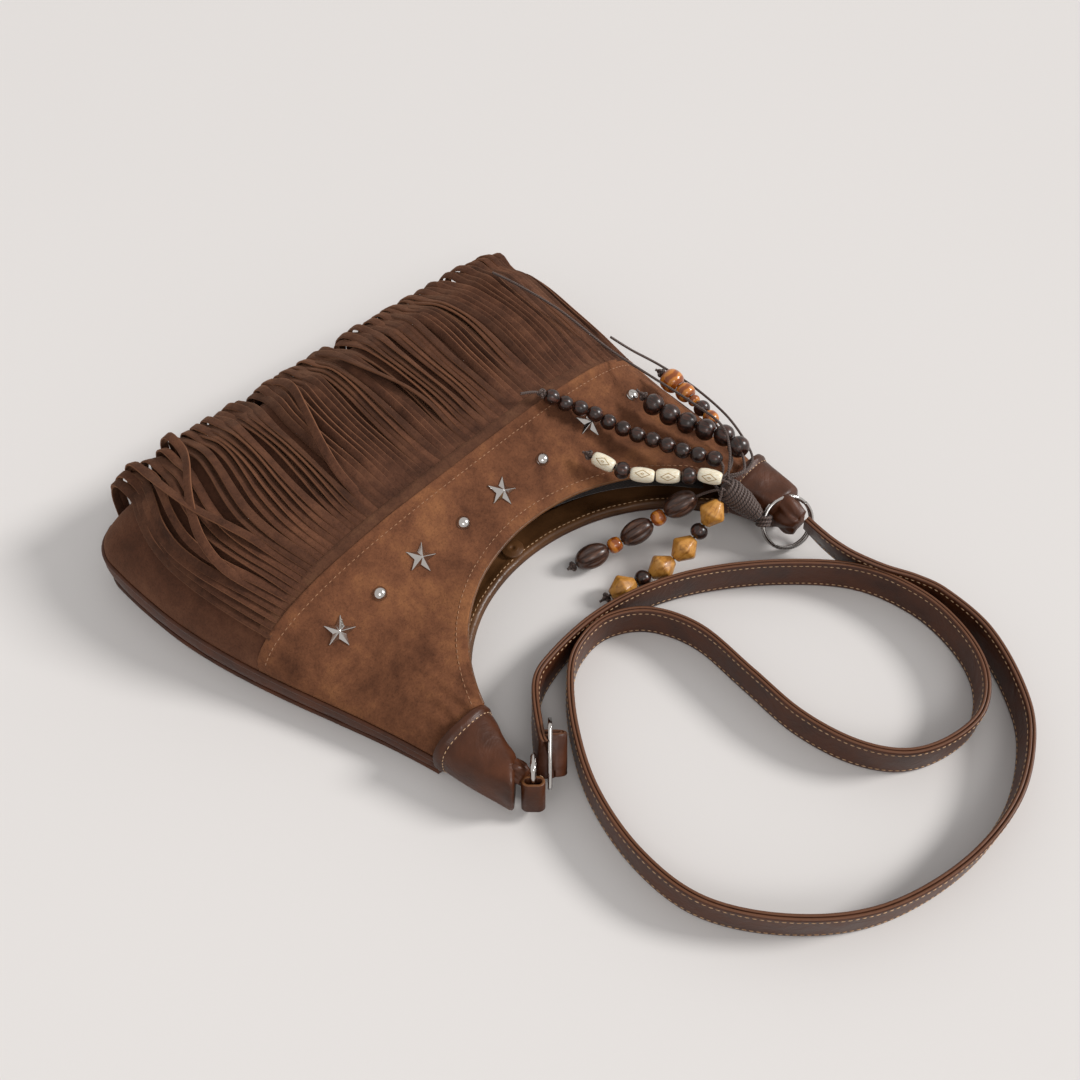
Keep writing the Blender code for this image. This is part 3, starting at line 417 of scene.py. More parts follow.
def sheetPiece(name, rows, thickness, material, outward=True):
    # a dense grid of surface points with a wall; the wall goes inwards from the surface
    columns = len(rows[0])
    vertices = [v for row in rows for v in row]
    faces = [(r * columns + c, r * columns + c + 1, (r + 1) * columns + c + 1, (r + 1) * columns + c)
             for r in range(len(rows) - 1) for c in range(columns - 1)]
    middle = Vector((0, 0, 0.02))
    lean = 0.0
    for a, b, c, d in faces[::7]:
        normal = (vertices[b] - vertices[a]).cross(vertices[d] - vertices[a])
        lean += normal.dot((vertices[a] + vertices[c]) / 2 - middle)
    if (lean < 0) == outward:
        faces = [tuple(reversed(f)) for f in faces]
    obj = newMesh(name, vertices, faces, material)
    wall = obj.modifiers.new("wall", "SOLIDIFY")
    wall.thickness = thickness * mm
    wall.offset = -1
    return obj


def loftPiece(name, rings, material):
    # closed skin over rings of points, with both ends closed
    count = len(rings[0])
    vertices = [p for ring in rings for p in ring]
    faces = [(k + i, k + (i + 1) % count, k + count + (i + 1) % count, k + count + i)
             for k in range(0, (len(rings) - 1) * count, count) for i in range(count)]
    for base, ring in ((0, rings[0]), ((len(rings) - 1) * count, rings[-1])):
        vertices.append(sum(ring, Vector()) / count)
        faces += [(base + i, base + (i + 1) % count, len(vertices) - 1) for i in range(count)]
    return tidyNormals(newMesh(name, vertices, faces, material))


def lathe(name, profile, material, steps=28):
    # body of revolution about Z; profile is (radius, height) pairs in mm, closed if its ends meet
    vertices, faces = [], []
    closed = profile[0] == profile[-1]
    points = profile[:-1] if closed else profile
    for radius, height in points:
        for i in range(steps):
            angle = 2 * math.pi * i / steps
            vertices.append(Vector((radius * math.cos(angle), radius * math.sin(angle), height)) * mm)
    spans = len(points) if closed else len(points) - 1
    for k in range(spans):
        for i in range(steps):
            a, b = k * steps, ((k + 1) % len(points)) * steps
            faces.append((a + i, a + (i + 1) % steps, b + (i + 1) % steps, b + i))
    return tidyNormals(newMesh(name, vertices, faces, material))


def addAttribute(data, name, kind, values):
    layer = data.attributes.new(name, kind, "POINT")
    flat = np.array(values, np.float32).ravel()
    layer.data.foreach_set("vector" if kind == "FLOAT_VECTOR" else "value", flat)


def lineObject(name, lines):
    # edge-only mesh that carries the band trees' fields; a line is what asLine makes
    vertices, edges, fields = [], [], {"bandNormal": [], "bandScale": [], "bandAlong": [], "bandShade": []}
    for line in lines:
        points = [Vector(p) for p in line["points"]]
        start = len(vertices)
        vertices += [tuple(p) for p in points]
        edges += [(start + i, start + i + 1) for i in range(len(points) - 1)]
        if line.get("closed"):
            edges.append((start + len(points) - 1, start))
        steps = [0.0] + [(b - a).length / mm for a, b in zip(points, points[1:])]
        fields["bandAlong"] += list(np.cumsum(steps))
        fields["bandNormal"] += [tuple(n) for n in line["normals"]]
        fields["bandScale"] += [line.get("scale", 1.0)] * len(points)
        fields["bandShade"] += [line.get("shade", 1.0)] * len(points)
    data = bpy.data.meshes.new(name)
    data.from_pydata(vertices, edges, [])
    for key, values in fields.items():
        addAttribute(data, key, "FLOAT_VECTOR" if key == "bandNormal" else "FLOAT", values)
    return linkObject(name, data)


def profileObject(name, points, across):
    # closed outline of a band: x is along the band's normal, y across it
    data = bpy.data.meshes.new(name)
    count = len(points)
    edges = [(i, (i + 1) % count) for i in range(count)]
    data.from_pydata([(a * mm, b * mm, 0) for a, b in points], edges, [])
    addAttribute(data, "bandAcross", "FLOAT", across)
    addAttribute(data, "bandAround", "FLOAT", [i / count for i in range(count)])
    return linkObject(name, data)


def startTree(name, sockets):
    tree = bpy.data.node_groups.new(name, "GeometryNodeTree")
    for way in ("INPUT", "OUTPUT"):
        tree.interface.new_socket(name="Geometry", in_out=way, socket_type="NodeSocketGeometry")
    for label, kind in sockets.items():
        tree.interface.new_socket(name=label, in_out="INPUT", socket_type="NodeSocket" + kind)
    return tree, addNode(tree, "NodeGroupInput").outputs, addNode(tree, "NodeGroupOutput")


def addGeometry(tree, kind, links, **settings):
    return addNode(tree, "GeometryNode" + kind, links, **settings).outputs[0]


def named(tree, name, kind="FLOAT_VECTOR"):
    return addGeometry(tree, "InputNamedAttribute", {"Name": name}, data_type=kind)


def chance(tree, given, low, high):
    return addNode(tree, "FunctionNodeRandomValue", {2: low, 3: high, "Seed": given["Seed"]},
                   data_type="FLOAT").outputs[1]


def turnTo(tree, upwards, forwards, spin):
    # sets a copy's Z and X along the two directions, then turns it by spin about its own Z
    turn = addNode(tree, "FunctionNodeAxesToRotation", {0: upwards, 1: forwards}, primary_axis="Z",
                   secondary_axis="X")
    tip = addNode(tree, "FunctionNodeAxisAngleToRotation", {0: (0, 0, 1), 1: spin})
    return addNode(tree, "FunctionNodeRotateRotation", {0: turn.outputs[0], 1: tip.outputs[0]},
                   rotation_space="LOCAL").outputs[0]


def finishTree(tree, given, result, geometry):
    real = addGeometry(tree, "RealizeInstances", {"Geometry": geometry})
    painted = addGeometry(tree, "SetMaterial", {"Geometry": real, "Material": given["Material"]})
    tree.links.new(painted, result.inputs[0])
    return tree


def makeBandTree():
    # sweeps a profile along every line, turned to the line's own normals
    sockets = dict(Profile="Object", Size="Float", Material="Material")
    tree, given, result = startTree("bandAlongLines", sockets)
    curve = addGeometry(tree, "MeshToCurve", {"Mesh": given["Geometry"]})
    normal = named(tree, "bandNormal")
    turned = addGeometry(tree, "SetCurveNormal", {"Curve": curve, "Normal": normal}, mode="FREE")
    profile = addNode(tree, "GeometryNodeObjectInfo", {"Object": given["Profile"]})
    edge = addGeometry(tree, "MeshToCurve", {"Mesh": profile.outputs["Geometry"]})
    size = addMath(tree, "MULTIPLY", named(tree, "bandScale", "FLOAT"), given["Size"])
    swept = addGeometry(tree, "CurveToMesh", {"Curve": turned, "Profile Curve": edge, "Scale": size,
                                              "Fill Caps": True})
    return finishTree(tree, given, result, addGeometry(tree, "SetShadeSmooth", {"Geometry": swept}))


def makeStitchTree():
    # one small capsule of thread per stitch, laid along the line and flat on what it sews
    sockets = dict(Pitch="Float", Length="Float", Thickness="Float", Seed="Int", Material="Material")
    tree, given, result = startTree("stitchesAlongLines", sockets)
    curve = addGeometry(tree, "MeshToCurve", {"Mesh": given["Geometry"]})
    spaced = addGeometry(tree, "ResampleCurve", {"Curve": curve, "Length": given["Pitch"]}, mode="LENGTH")
    capsule = addGeometry(tree, "MeshUVSphere", {"Segments": 6, "Rings": 5, "Radius": 0.5})
    shape = addNode(tree, "ShaderNodeCombineXYZ", {0: given["Length"], 1: given["Thickness"],
                                                   2: given["Thickness"]})
    long = addGeometry(tree, "Transform", {"Geometry": capsule, "Scale": shape.outputs[0]})
    stitch = addGeometry(tree, "SetShadeSmooth", {"Geometry": long})
    turn = turnTo(tree, named(tree, "bandNormal"), addGeometry(tree, "InputTangent", {}),
                  chance(tree, given, -0.05, 0.05))
    laid = addGeometry(tree, "InstanceOnPoints", {"Points": spaced, "Instance": stitch, "Rotation": turn})
    return finishTree(tree, given, result, laid)


def makeBeadTree():
    # threads copies of a bead on the points, each along its own axis and turned by chance
    tree, given, result = startTree("beadsOnCord", dict(Bead="Object", Seed="Int", Material="Material"))
    bead = addNode(tree, "GeometryNodeObjectInfo", {"Object": given["Bead"]}).outputs["Geometry"]
    turn = turnTo(tree, named(tree, "beadAxis"), named(tree, "beadFacing"), chance(tree, given, -0.35, 0.35))
    laid = addGeometry(tree, "InstanceOnPoints", {"Points": given["Geometry"], "Instance": bead,
                                                  "Rotation": turn})
    shade = chance(tree, given, 0.0, 1.0)
    kept = addGeometry(tree, "StoreNamedAttribute", {"Geometry": laid, "Name": "beadShade", "Value": shade},
                       domain="INSTANCE")
    return finishTree(tree, given, result, kept)


bandTree, stitchTree, beadTree = makeBandTree(), makeStitchTree(), makeBeadTree()


def grow(name, source, tree, values, spares=()):
    # runs a tree on source, keeps the result as a plain mesh and throws the helpers away
    modifier = source.modifiers.new("grow", "NODES")
    modifier.node_group = tree
    for item in tree.interface.items_tree:
        if item.item_type == "SOCKET" and item.in_out == "INPUT" and item.name in values:
            modifier[item.identifier] = values[item.name]
    bpy.context.view_layer.update()
    ready = source.evaluated_get(bpy.context.evaluated_depsgraph_get())
    data = bpy.data.meshes.new_from_object(ready)
    source.modifiers.remove(modifier)
    obj = linkObject(name, data)
    data.name = name
    for spare in (source, *spares):
        bpy.data.objects.remove(spare)
    if not data.materials or data.materials[0] is None:
        data.materials.clear()
        data.materials.append(values["Material"])
    return obj


def asLine(points, normals=None, **more):
    return dict(points=points, normals=normals or turningNormals(points), **more)


def band(name, lines, profile, material):
    # profile is its points and how near each is to the band's edge, from 0 to 1
    shape = profileObject(name + "Profile", *profile)
    source = lineObject(name + "Lines", lines)
    values = {"Profile": shape, "Size": 1.0, "Material": material}
    return tidyNormals(grow(name, source, bandTree, values, (shape,)))


def stitches(name, lines, material, pitch=3.0, length=2.2, thickness=0.5):
    source = lineObject(name + "Lines", lines)
    values = {"Pitch": pitch * mm, "Length": length * mm, "Thickness": thickness * mm, "Seed": 3,
              "Material": material}
    return grow(name, source, stitchTree, values)


def roundProfile(radius, count=10):
    points = [(radius * math.cos(2 * math.pi * i / count), radius * math.sin(2 * math.pi * i / count))
              for i in range(count)]
    return points, [0.0] * count


def tangentAt(points, i):
    return (points[min(i + 1, len(points) - 1)] - points[max(i - 1, 0)]).normalized()


def turningNormals(points):
    # normals that turn as little as they can along a line
    points = [Vector(p) for p in points]
    normal = Vector((0, 0, 1)) if abs(tangentAt(points, 0).z) < 0.9 else Vector((1, 0, 0))
    out = []
    for i in range(len(points)):
        tangent = tangentAt(points, i)
        normal = (normal - tangent * normal.dot(tangent)).normalized()
        out.append(normal.copy())
    return out


# camera, light and floor
studio = dict(cameraPlace=(-0.2457, -0.2922, 0.5192), aim=(0.723, 0.691), pitch=54.0, lens=40.0, sensor=36.0,
              floor="#E1DCD8", floorShade="#DFDAD6", floorSize=4.0, keyPower=2.24, keyFrom=(3.9, -3.0, 3.4),
              keySpread=15.5, fillPower=20.0, fillPlace=(-1.2, -2.2, 2.6), fillSize=1.4,
              skyColour="#FCFDFF", worldStrength=0.55)


def lengthOf(points):
    return sum((b - a).length for a, b in zip(points, points[1:]))


def roundTheAxis(centre, first, second, axis, profile, count):
    # rings of points about an axis; profile is (radius, height) pairs in mm
    return [[centre + (first * math.cos(a) + second * math.sin(a)) * radius * mm + axis * height * mm
             for a in np.linspace(0, 2 * math.pi, count, endpoint=False)] for radius, height in profile]


def setCamera():
    camera = bpy.data.cameras.new("camera")
    camera.lens = studio["lens"]
    camera.sensor_width = studio["sensor"]
    obj = linkObject("camera", camera)
    obj.location = studio["cameraPlace"]
    down = math.radians(studio["pitch"])
    look = Vector((studio["aim"][0] * math.cos(down), studio["aim"][1] * math.cos(down), -math.sin(down)))
    obj.rotation_euler = look.to_track_quat("-Z", "Y").to_euler()
    bpy.context.scene.camera = obj


def setStudio():
    scene = bpy.context.scene
    scene.view_settings.view_transform = "Standard"
    world = bpy.data.worlds.new("studio")
    scene.world = world
    world.use_nodes = True
    tree = world.node_tree
    tree.nodes.clear()
    path = addNode(tree, "ShaderNodeLightPath").outputs
    seen = addMath(tree, "ADD", path["Is Camera Ray"], path["Is Glossy Ray"])
    shown = addNode(tree, "ShaderNodeMath", {0: seen, 1: path["Is Transmission Ray"]}, operation="ADD",
                    use_clamp=True)
    lit = addNode(tree, "ShaderNodeBackground", {0: srgb(studio["skyColour"]), 1: studio["worldStrength"]})
    pale = addNode(tree, "ShaderNodeBackground", {0: srgb(studio["floor"]), 1: 1.0})
    mixed = addNode(tree, "ShaderNodeMixShader", {0: shown.outputs[0], 1: lit.outputs[0], 2: pale.outputs[0]})
    addNode(tree, "ShaderNodeOutputWorld", {0: mixed.outputs[0]})
    # the key is a soft, even light from the right, like a large window far off
    key = bpy.data.lights.new("key", "SUN")
    key.energy = studio["keyPower"]
    key.angle = math.radians(studio["keySpread"])
    fill = bpy.data.lights.new("fill", "AREA")
    fill.shape = "DISK"
    fill.size = studio["fillSize"]
    fill.energy = studio["fillPower"]
    for lamp, where in ((key, studio["keyFrom"]), (fill, studio["fillPlace"])):
        obj = linkObject(lamp.name, lamp)
        obj.location = where
        obj.rotation_euler = (-Vector(where)).to_track_quat("-Z", "Y").to_euler()
    # the floor: smooth pale paint, faintly cloudy
    made, tree, shader = startMaterial("paleFloor", 0.85)
    cloudy = addNoise(tree, objectPlace(tree), perMetre(650))
    finishMaterial(made, shader, addRamp(tree, cloudy, ((0.3, studio["floor"]), (0.7, studio["floorShade"]))))
    size, level = studio["floorSize"], -0.0002
    corners = [(-size, -size, level), (size, -size, level), (size, size, level), (-size, size, level)]
    newMesh("floor", corners, [(0, 1, 2, 3)], made, False)


setCamera()
setStudio()
print("stage: studio")

# strap, a flat free cord on its edge
strapLook = dict(width=20.0, thickness=3.5, step=1.8, rootRun=62.5, turnRun=80.0, foldRun=26.0,
                 rootLean=(-0.425, 0.406, 0.809), stitchInset=2.4, stitchPitch=3.1, stitchStart=6,
                 stitchEnd=14)
sideways, awayFrom = (0.691, 0.723), (0.723, -0.691)
tabSpot, tabSize, tabRise = (-97.9, 250.8, 14.2), (11.0, 7.2, 16.0), math.radians(68)
sliderSpot, sliderSize, sliderRise = (-79.1, 243.3, 17.2), (16.8, 31.0, 2.2), math.radians(39)
sliderBar, linkWire, linkSize, tabWall = 2.2, 1.5, (9.8, 25.6), 1.7
strapRoute = (
    (105, 251.2, 23), (104.6, 257.5, 21.6), (105.2, 267.7, 18.4), (107.2, 279.6, 15.4),
    (111.8, 295.5, 12.6), (117.5, 310, 11), (121, 326, 10.4), (117, 353, 10.4), (101, 380, 10.4),
    (81, 398, 10.4), (48, 410, 10.4), (7, 409, 10.4), (-34, 395, 10.4), (-64, 370, 10.4),
    (-84, 338, 10.4), (-87, 305, 10.4), (-78.5, 271, 10.4), (-61.5, 242.5, 10.4), (-41, 221, 10.4),
    (-24, 213.5, 10.4), (-6, 214.5, 10.4), (11, 227, 10.4), (20, 251, 10.4), (18, 284, 10.4),
    (16, 314, 10.4), (21, 341, 10.4), (33, 361, 10.4), (52, 372, 10.4), (75, 375, 10.4), (95, 365, 10.4),
    (107.5, 345, 10.4), (112, 318, 10.4), (104, 287, 10.4), (79, 256.5, 10.4), (47, 230.5, 10.4),
    (17, 215.5, 10.4), (-13, 208.5, 10.4), (-41, 209.5, 10.6), (-61, 217, 12.5),
)


def basis(rise):
    side = heading(*sideways, 0)
    up = heading(awayFrom[0] * math.cos(rise), awayFrom[1] * math.cos(rise), math.sin(rise))
    return side, up, side.cross(up).normalized()


def strapLine():
    look = strapLook
    side, up, across = basis(sliderRise)
    centre = place(*sliderSpot)
    slot = (sliderSize[0] - sliderBar) / 4
    turn = [(2.6 + slot * math.sin(a), slot * math.cos(a)) for a in np.radians(range(0, 181, 30))]
    fold = [(-4.0, slot), (0.0, slot)] + turn + [(0.0, -slot), (-4.2, -slot)]
    route = [place(*p) for p in strapRoute] + [centre + (side * a + across * b) * mm for a, b in fold]
    points = [Vector(p) * mm for p in smoothRoute([p / mm for p in route], look["step"])]
    # the width stands upright, leans at the root and turns to the slider before the fold
    total = len(points) * look["step"]
    widths = []
    for i in range(len(points)):
        run = i * look["step"]
        root = max(0.0, 1 - run / look["rootRun"])
        end = smoothStep((run - total + look["foldRun"] + look["turnRun"]) / look["turnRun"])
        widths.append(Vector((0, 0, 1)).lerp(heading(*look["rootLean"]), root).lerp(up, end).normalized())
    return points, widths


def makeStrap():
    look = strapLook
    points, widths = strapLine()
    half, depth = look["width"] / 2, look["thickness"] / 2
    normals = [tangentAt(points, i).cross(width).normalized() for i, width in enumerate(widths)]
    # two layers: the outline is rounded, and a groove runs where they meet
    quarter = [(0.12, half - 0.8), (0.22, half - 0.25), (0.5, half), (depth - 0.75, half),
               (depth - 0.25, half - 0.25), (depth, half - 0.9), (depth - 0.12, half - 2.4),
               (depth, half - 3.6)]
    right = quarter + [(a, -b) for a, b in reversed(quarter)]
    outlinePoints = right + [(-a, -b) for a, b in right]
    across = [min(1.0, max(0.0, (abs(b) - half + 2.0) / 2.0)) for _, b in outlinePoints]
    strap = band("strapBand", [asLine(points, normals)], (outlinePoints, across), finishes["strap"])
    finishPiece(strap, "strap_leather", "strap")
    rows = []
    sewn = slice(look["stitchStart"], -look["stitchEnd"])
    for face in (-1, 1):
        for edge in (-1, 1):
            path = [p + n * face * (depth - 0.02) * mm + w * edge * (half - look["stitchInset"]) * mm
                    for p, n, w in zip(points[sewn], normals[sewn], widths[sewn])]
            rows.append(asLine(path, [n * face for n in normals[sewn]]))
    finishPiece(stitches("strapStitches", rows, finishes["tanThread"], look["stitchPitch"]), "strap_leather")


makeStrap()

# charm: wound barrel, tie, beaded strands and loose cords
# a route's points are (x, h, z) in mm, chosen along what the photo shows
ringLook = dict(centre=(105, 241, 13.8), outer=15.0, wire=1.3, normal=(-0.351, 0.701, 0.621), turnInset=1.1,
                turnWire=1.02, turnRise=0.95)
charmLook = dict(tieAngle=160.0, barrelStart=4.1, barrelEnd=(85, 212, 37), exitRadius=4.4, cordRadius=0.7,
                 beadGap=0.75, knotSize=2.2, knotCord=0.75, knotRoom=1.9, turns=12, wrapCord=0.95,
                 tieCord=0.95, tieLoops=((-1.9, 3.2), (0.1, 3.4), (2.0, 3.1)),
                 beadFacing=(-0.425, -0.406, 0.809),
                 barrel=((0, 3.2), (0.15, 4.6), (0.5, 6.3), (0.85, 6.4), (1, 5.4)))
beadSizes = dict(smallDark=(4.2, 7.8), largeDark=(5.9, 9.7), bigAmber=(6.5, 10.6), midAmber=(5.3, 8.6),
                 amber=(4.2, 7.4), thinAmber=(3.4, 4.2), dark=(4.6, 7.4), bone=(3.9, 12.4), oval=(6.6, 18.0),
                 bicone=(7.4, 14.4))
strands = dict(
    smallDark=dict(exit=-14, knot=12, fused="small_dark_strand", beads=("smallDark",) * 12, route=(
        (91, 204.5, 43), (91, 199, 43.2), (87.8, 192, 43), (84.2, 184, 43), (82, 176, 42.5),
        (79.9, 168, 42), (77.2, 160, 41.6), (75, 151.5, 41.8), (72.2, 143, 43), (68.5, 136, 47.2),
        (64, 130, 50.6), (59, 124, 53.5), (53, 117.8, 59.5), (47, 113.5, 64), (39.5, 110, 66))),
    largeDark=dict(exit=22, knot=5, fused="large_dark_strand", beads=("largeDark",) * 6, route=(
        (96, 214, 41), (103, 209, 40.4), (108.5, 201, 40), (109.5, 192, 40), (106, 182.5, 40),
        (103, 173.5, 40), (100.8, 164, 40.4), (99, 154, 41.4), (98.5, 144.8, 43.4), (98.5, 139, 45))),
    amber=dict(exit=-92, knot=3.5, beads=("bigAmber", "midAmber", "thinAmber", "dark", "amber"), route=(
        (87.5, 204.6, 31.9), (97, 204.6, 31.2), (106, 200.5, 31.4), (113.5, 190, 32.6), (117.5, 178, 34.5),
        (120.5, 166, 35), (122.5, 152, 36), (123, 139, 37.5), (122, 133, 38.5))),
    bone=dict(exit=105, knot=3.4, beads=("bone", "dark", "bone", "bone", "dark", "bone"), route=(
        (79.6, 202.6, 42.6), (73.2, 194.8, 41.4), (66.4, 186.4, 40.4), (59, 177.5, 40.2), (53.8, 167.5, 40.4),
        (50.5, 156.5, 41.6), (47.5, 146.5, 43))),
    oval=dict(exit=-150, knot=3, beads=("oval", "amber", "oval", "amber", "oval"), route=(
        (75, 203.8, 32), (66, 197.6, 26), (56, 192.6, 19.8), (45, 187.9, 14), (32.5, 183, 9.4), (18, 177.5, 7),
        (8, 173.5, 4))),
    bicone=dict(exit=160, knot=4, beads=("bicone", "dark", "bicone", "bicone", "dark", "bicone"), route=(
        (77.8, 214.4, 36), (71, 214.8, 28.5), (61.5, 214.5, 21.5), (48, 213, 14), (34, 209.5, 9.6),
        (20.5, 205, 8.4), (10, 201, 6), (5, 199, 3.5))),
)
looseCords = dict(
    trailingCord=dict(exit=58, node="trailing_cord", route=(
        (96, 204, 49.5), (106, 190, 50.5), (109.5, 165, 48), (109, 140, 48), (106, 112, 51.5), (102, 80, 61),
        (98, 52, 64.5), (95, 34, 65))),
    outerCord=dict(exit=-50, node="outer_cord", route=(
        (95.5, 209.8, 34), (104, 211, 32.4), (113, 208.5, 32.4), (122, 196, 30.5), (131.5, 176, 27.5),
        (134, 152, 29), (129, 131, 35), (121, 116, 42.5), (113, 107, 52))),
)


def ringAxes():
    normal = heading(*ringLook["normal"])
    first = Vector((0, 0, 1)).cross(normal).normalized()
    first = -first if first.x < 0 else first
    second = normal.cross(first).normalized()
    return first, -second if second.z < 0 else second, normal


def ringPoint(angle, radius=None):
    first, second, _ = ringAxes()
    radius = (radius or ringLook["outer"] - ringLook["wire"]) * mm
    return place(*ringLook["centre"]) + (first * math.cos(angle) + second * math.sin(angle)) * radius


def barrelEnds():
    start = ringPoint(math.radians(charmLook["tieAngle"]))
    end = place(*charmLook["barrelEnd"])
    axis = (end - start).normalized()
    return start, start + axis * charmLook["barrelStart"] * mm, end, axis


def leaving(degrees):
    _, _, end, axis = barrelEnds()
    level = axis.cross(Vector((0, 0, 1))).normalized()
    upper = level.cross(axis)
    angle = math.radians(degrees)
    edge = end + (level * math.cos(angle) + upper * math.sin(angle)) * charmLook["exitRadius"] * mm
    points = [edge + axis * d * mm for d in (0.7, 3.0)]
    return [(p.x / mm + bag["frameX"], bag["frameH"] - p.y / mm, p.z / mm) for p in points]


def beadProfile(kind):
    # (radius, height) pairs, closed along the bore
    radius, length = beadSizes[kind]
    half, bore = length / 2, 1.0 if length < 12 else 1.3
    if kind == "bicone":
        side = [(half, 2.2), (half - 0.25, 2.7), (half * 0.1, radius - 0.15), (0, radius),
                (-half * 0.1, radius - 0.15), (-half + 0.25, 2.7), (-half, 2.2)]
    elif kind == "bone":
        side = [(half * t, radius * (1 - 0.28 * abs(t)**2.6)) for t in np.linspace(1, -1, 15)]
        side = [(half, radius * 0.6)] + side[1:-1] + [(-half, radius * 0.6)]
    elif beadFinish[kind] == "amberWood":
        # drum with a small turned rim at each end
        rim = [(half, radius * 0.512), (half * 0.98, radius * 0.64), (half * 0.9, radius * 0.64)]
        side = [(half * t, radius * math.sqrt(max(0.0, 1 - 0.62 * abs(t)**2.4)))
                for t in np.linspace(0.86, -0.86, 13)]
        side = rim + side + [(-level, r) for level, r in reversed(rim)]
    else:
        share = 0.35 if kind == "oval" else 0.5
        side = [(half * t, radius * math.sqrt(max(0.0, 1 - t * t * (1 - share**2))))
                for t in np.linspace(1, -1, 15)]
    loop = [(r, z) for z, r in side]
    return loop + [(bore, -half), (bore, half), loop[0]]


def makeBead(kind, material):
    obj = lathe("bead" + kind, beadProfile(kind), material, 48 if kind in ("oval", "bicone") else 32)
    data = obj.data
    own = np.zeros(len(data.vertices) * 3, np.float32)
    data.vertices.foreach_get("co", own)
    for vertex in data.vertices:
        angle = math.atan2(vertex.co.y, vertex.co.x)
        if kind == "oval" and vertex.co.xy.length > 2.2 * mm:
            # six grooves carved lengthwise
            groove = math.exp(-((abs((angle % (math.pi / 3)) - math.pi / 6)) / 0.17)**2)
            reach = math.exp(-((vertex.co.z / mm) / (0.42 * beadSizes[kind][1]))**4)
            vertex.co.xy *= 1 - 0.17 * groove * reach
        if kind == "bicone" and vertex.co.xy.length > 2.4 * mm:
            # eight soft facets cut round each half
            angle = angle % (math.pi / 4) - math.pi / 8
            vertex.co.xy *= math.cos(math.pi / 8) / math.cos(angle) * 0.85 + 0.15
    addAttribute(data, "ownPlace", "FLOAT_VECTOR", own / mm)
    return obj


beadFinish = dict(smallDark="darkWood", largeDark="darkWood", dark="darkWood", oval="ovalWood",
                  bigAmber="amberWood", midAmber="amberWood", amber="amberWood", thinAmber="amberWood",
                  bone="bone", bicone="lightWood")
beadSlot = dict(darkWood="dark_wood", ovalWood="dark_wood", amberWood="amber_wood", bone="bone",
                lightWood="light_wood")


def cordBand(name, lines, radius):
    return band(name, lines, roundProfile(radius, 8), finishes["cord"])


def knotLine(centre, axis, radius):
    # an overhand knot: the cord's line is a trefoil round the strand's axis
    side = axis.orthogonal().normalized()
    other = axis.cross(side)
    points = []
    for i in range(36):
        t = 2 * math.pi * i / 36
        a, b, c = math.sin(t) + 2 * math.sin(2 * t), math.cos(t) - 2 * math.cos(2 * t), -math.sin(3 * t)
        points.append(centre + (side * a + axis * b * 0.8 + other * c * 1.3) * radius * mm / 3)
    return points


def strandBeads(label, kind, entries):
    # all of a strand's beads of one kind; an entry is a bead's middle, axis and node
    finish = beadFinish[kind]
    bead = makeBead(kind, finishes[finish])
    data = bpy.data.meshes.new("threading")
    data.from_pydata([tuple(e[0]) for e in entries], [], [])
    addAttribute(data, "beadAxis", "FLOAT_VECTOR", [tuple(e[1]) for e in entries])
    addAttribute(data, "beadFacing", "FLOAT_VECTOR", [charmLook["beadFacing"]] * len(entries))
    piece = grow(f"{label}Beads{kind[0].upper()}{kind[1:]}", linkObject("threading", data), beadTree,
                 {"Bead": bead, "Seed": 7 + len(label), "Material": finishes[finish]}, (bead,))
    return finishPiece(piece, beadSlot[finish], *dict.fromkeys(e[2] for e in entries))


def makeStrand(label, spec):
    look = charmLook
    route = smoothRoute(leaving(spec["exit"]) + list(spec["route"]), 1.0)[::-1]
    along = np.concatenate([[0], np.cumsum(np.linalg.norm(np.diff(route, axis=0), axis=1))])

    def at(distance):
        return place(*[float(np.interp(distance, along, route[:, k])) for k in range(3)])

    def axisAt(distance):
        return (at(distance + 2) - at(distance - 2)).normalized()

    points = [at(d) for d in reversed(np.linspace(0, along[-1], int(along[-1] / 2.0)))]
    cord = cordBand(label + "Cord", [asLine(points)], look["cordRadius"])
    fused = spec.get("fused")
    finishPiece(cord, "dark_wood" if fused else "waxed_cord", fused or label + "_cord")
    # the beads follow the knot, each a small gap after the one before
    distance = spec["knot"] + look["knotRoom"] + look["beadGap"]
    groups = {}
    for number, kind in enumerate(spec["beads"], 1):
        length = beadSizes[kind][1]
        middle = distance + length / 2
        distance += length + look["beadGap"]
        groups.setdefault(kind, []).append((at(middle), axisAt(middle), fused or f"{label}_bead_{number}"))
    beadPieces = [strandBeads(label, kind, entries) for kind, entries in groups.items()]
    knot = knotLine(at(spec["knot"]), axisAt(spec["knot"]), look["knotSize"])
    tied = cordBand(label + "Knot", [asLine(knot, closed=True)], look["knotCord"])
    finishPiece(tied, "waxed_cord")
    length = lengthOf(points)
    print(label, "cord length", round(length, 3))


def makeLooseCord(label, spec):
    points = [place(*p) for p in smoothRoute(leaving(spec["exit"]) + list(spec["route"]), 2.0)]
    loose = cordBand(label, [asLine(points)], charmLook["cordRadius"])
    finishPiece(loose, "waxed_cord", spec["node"])


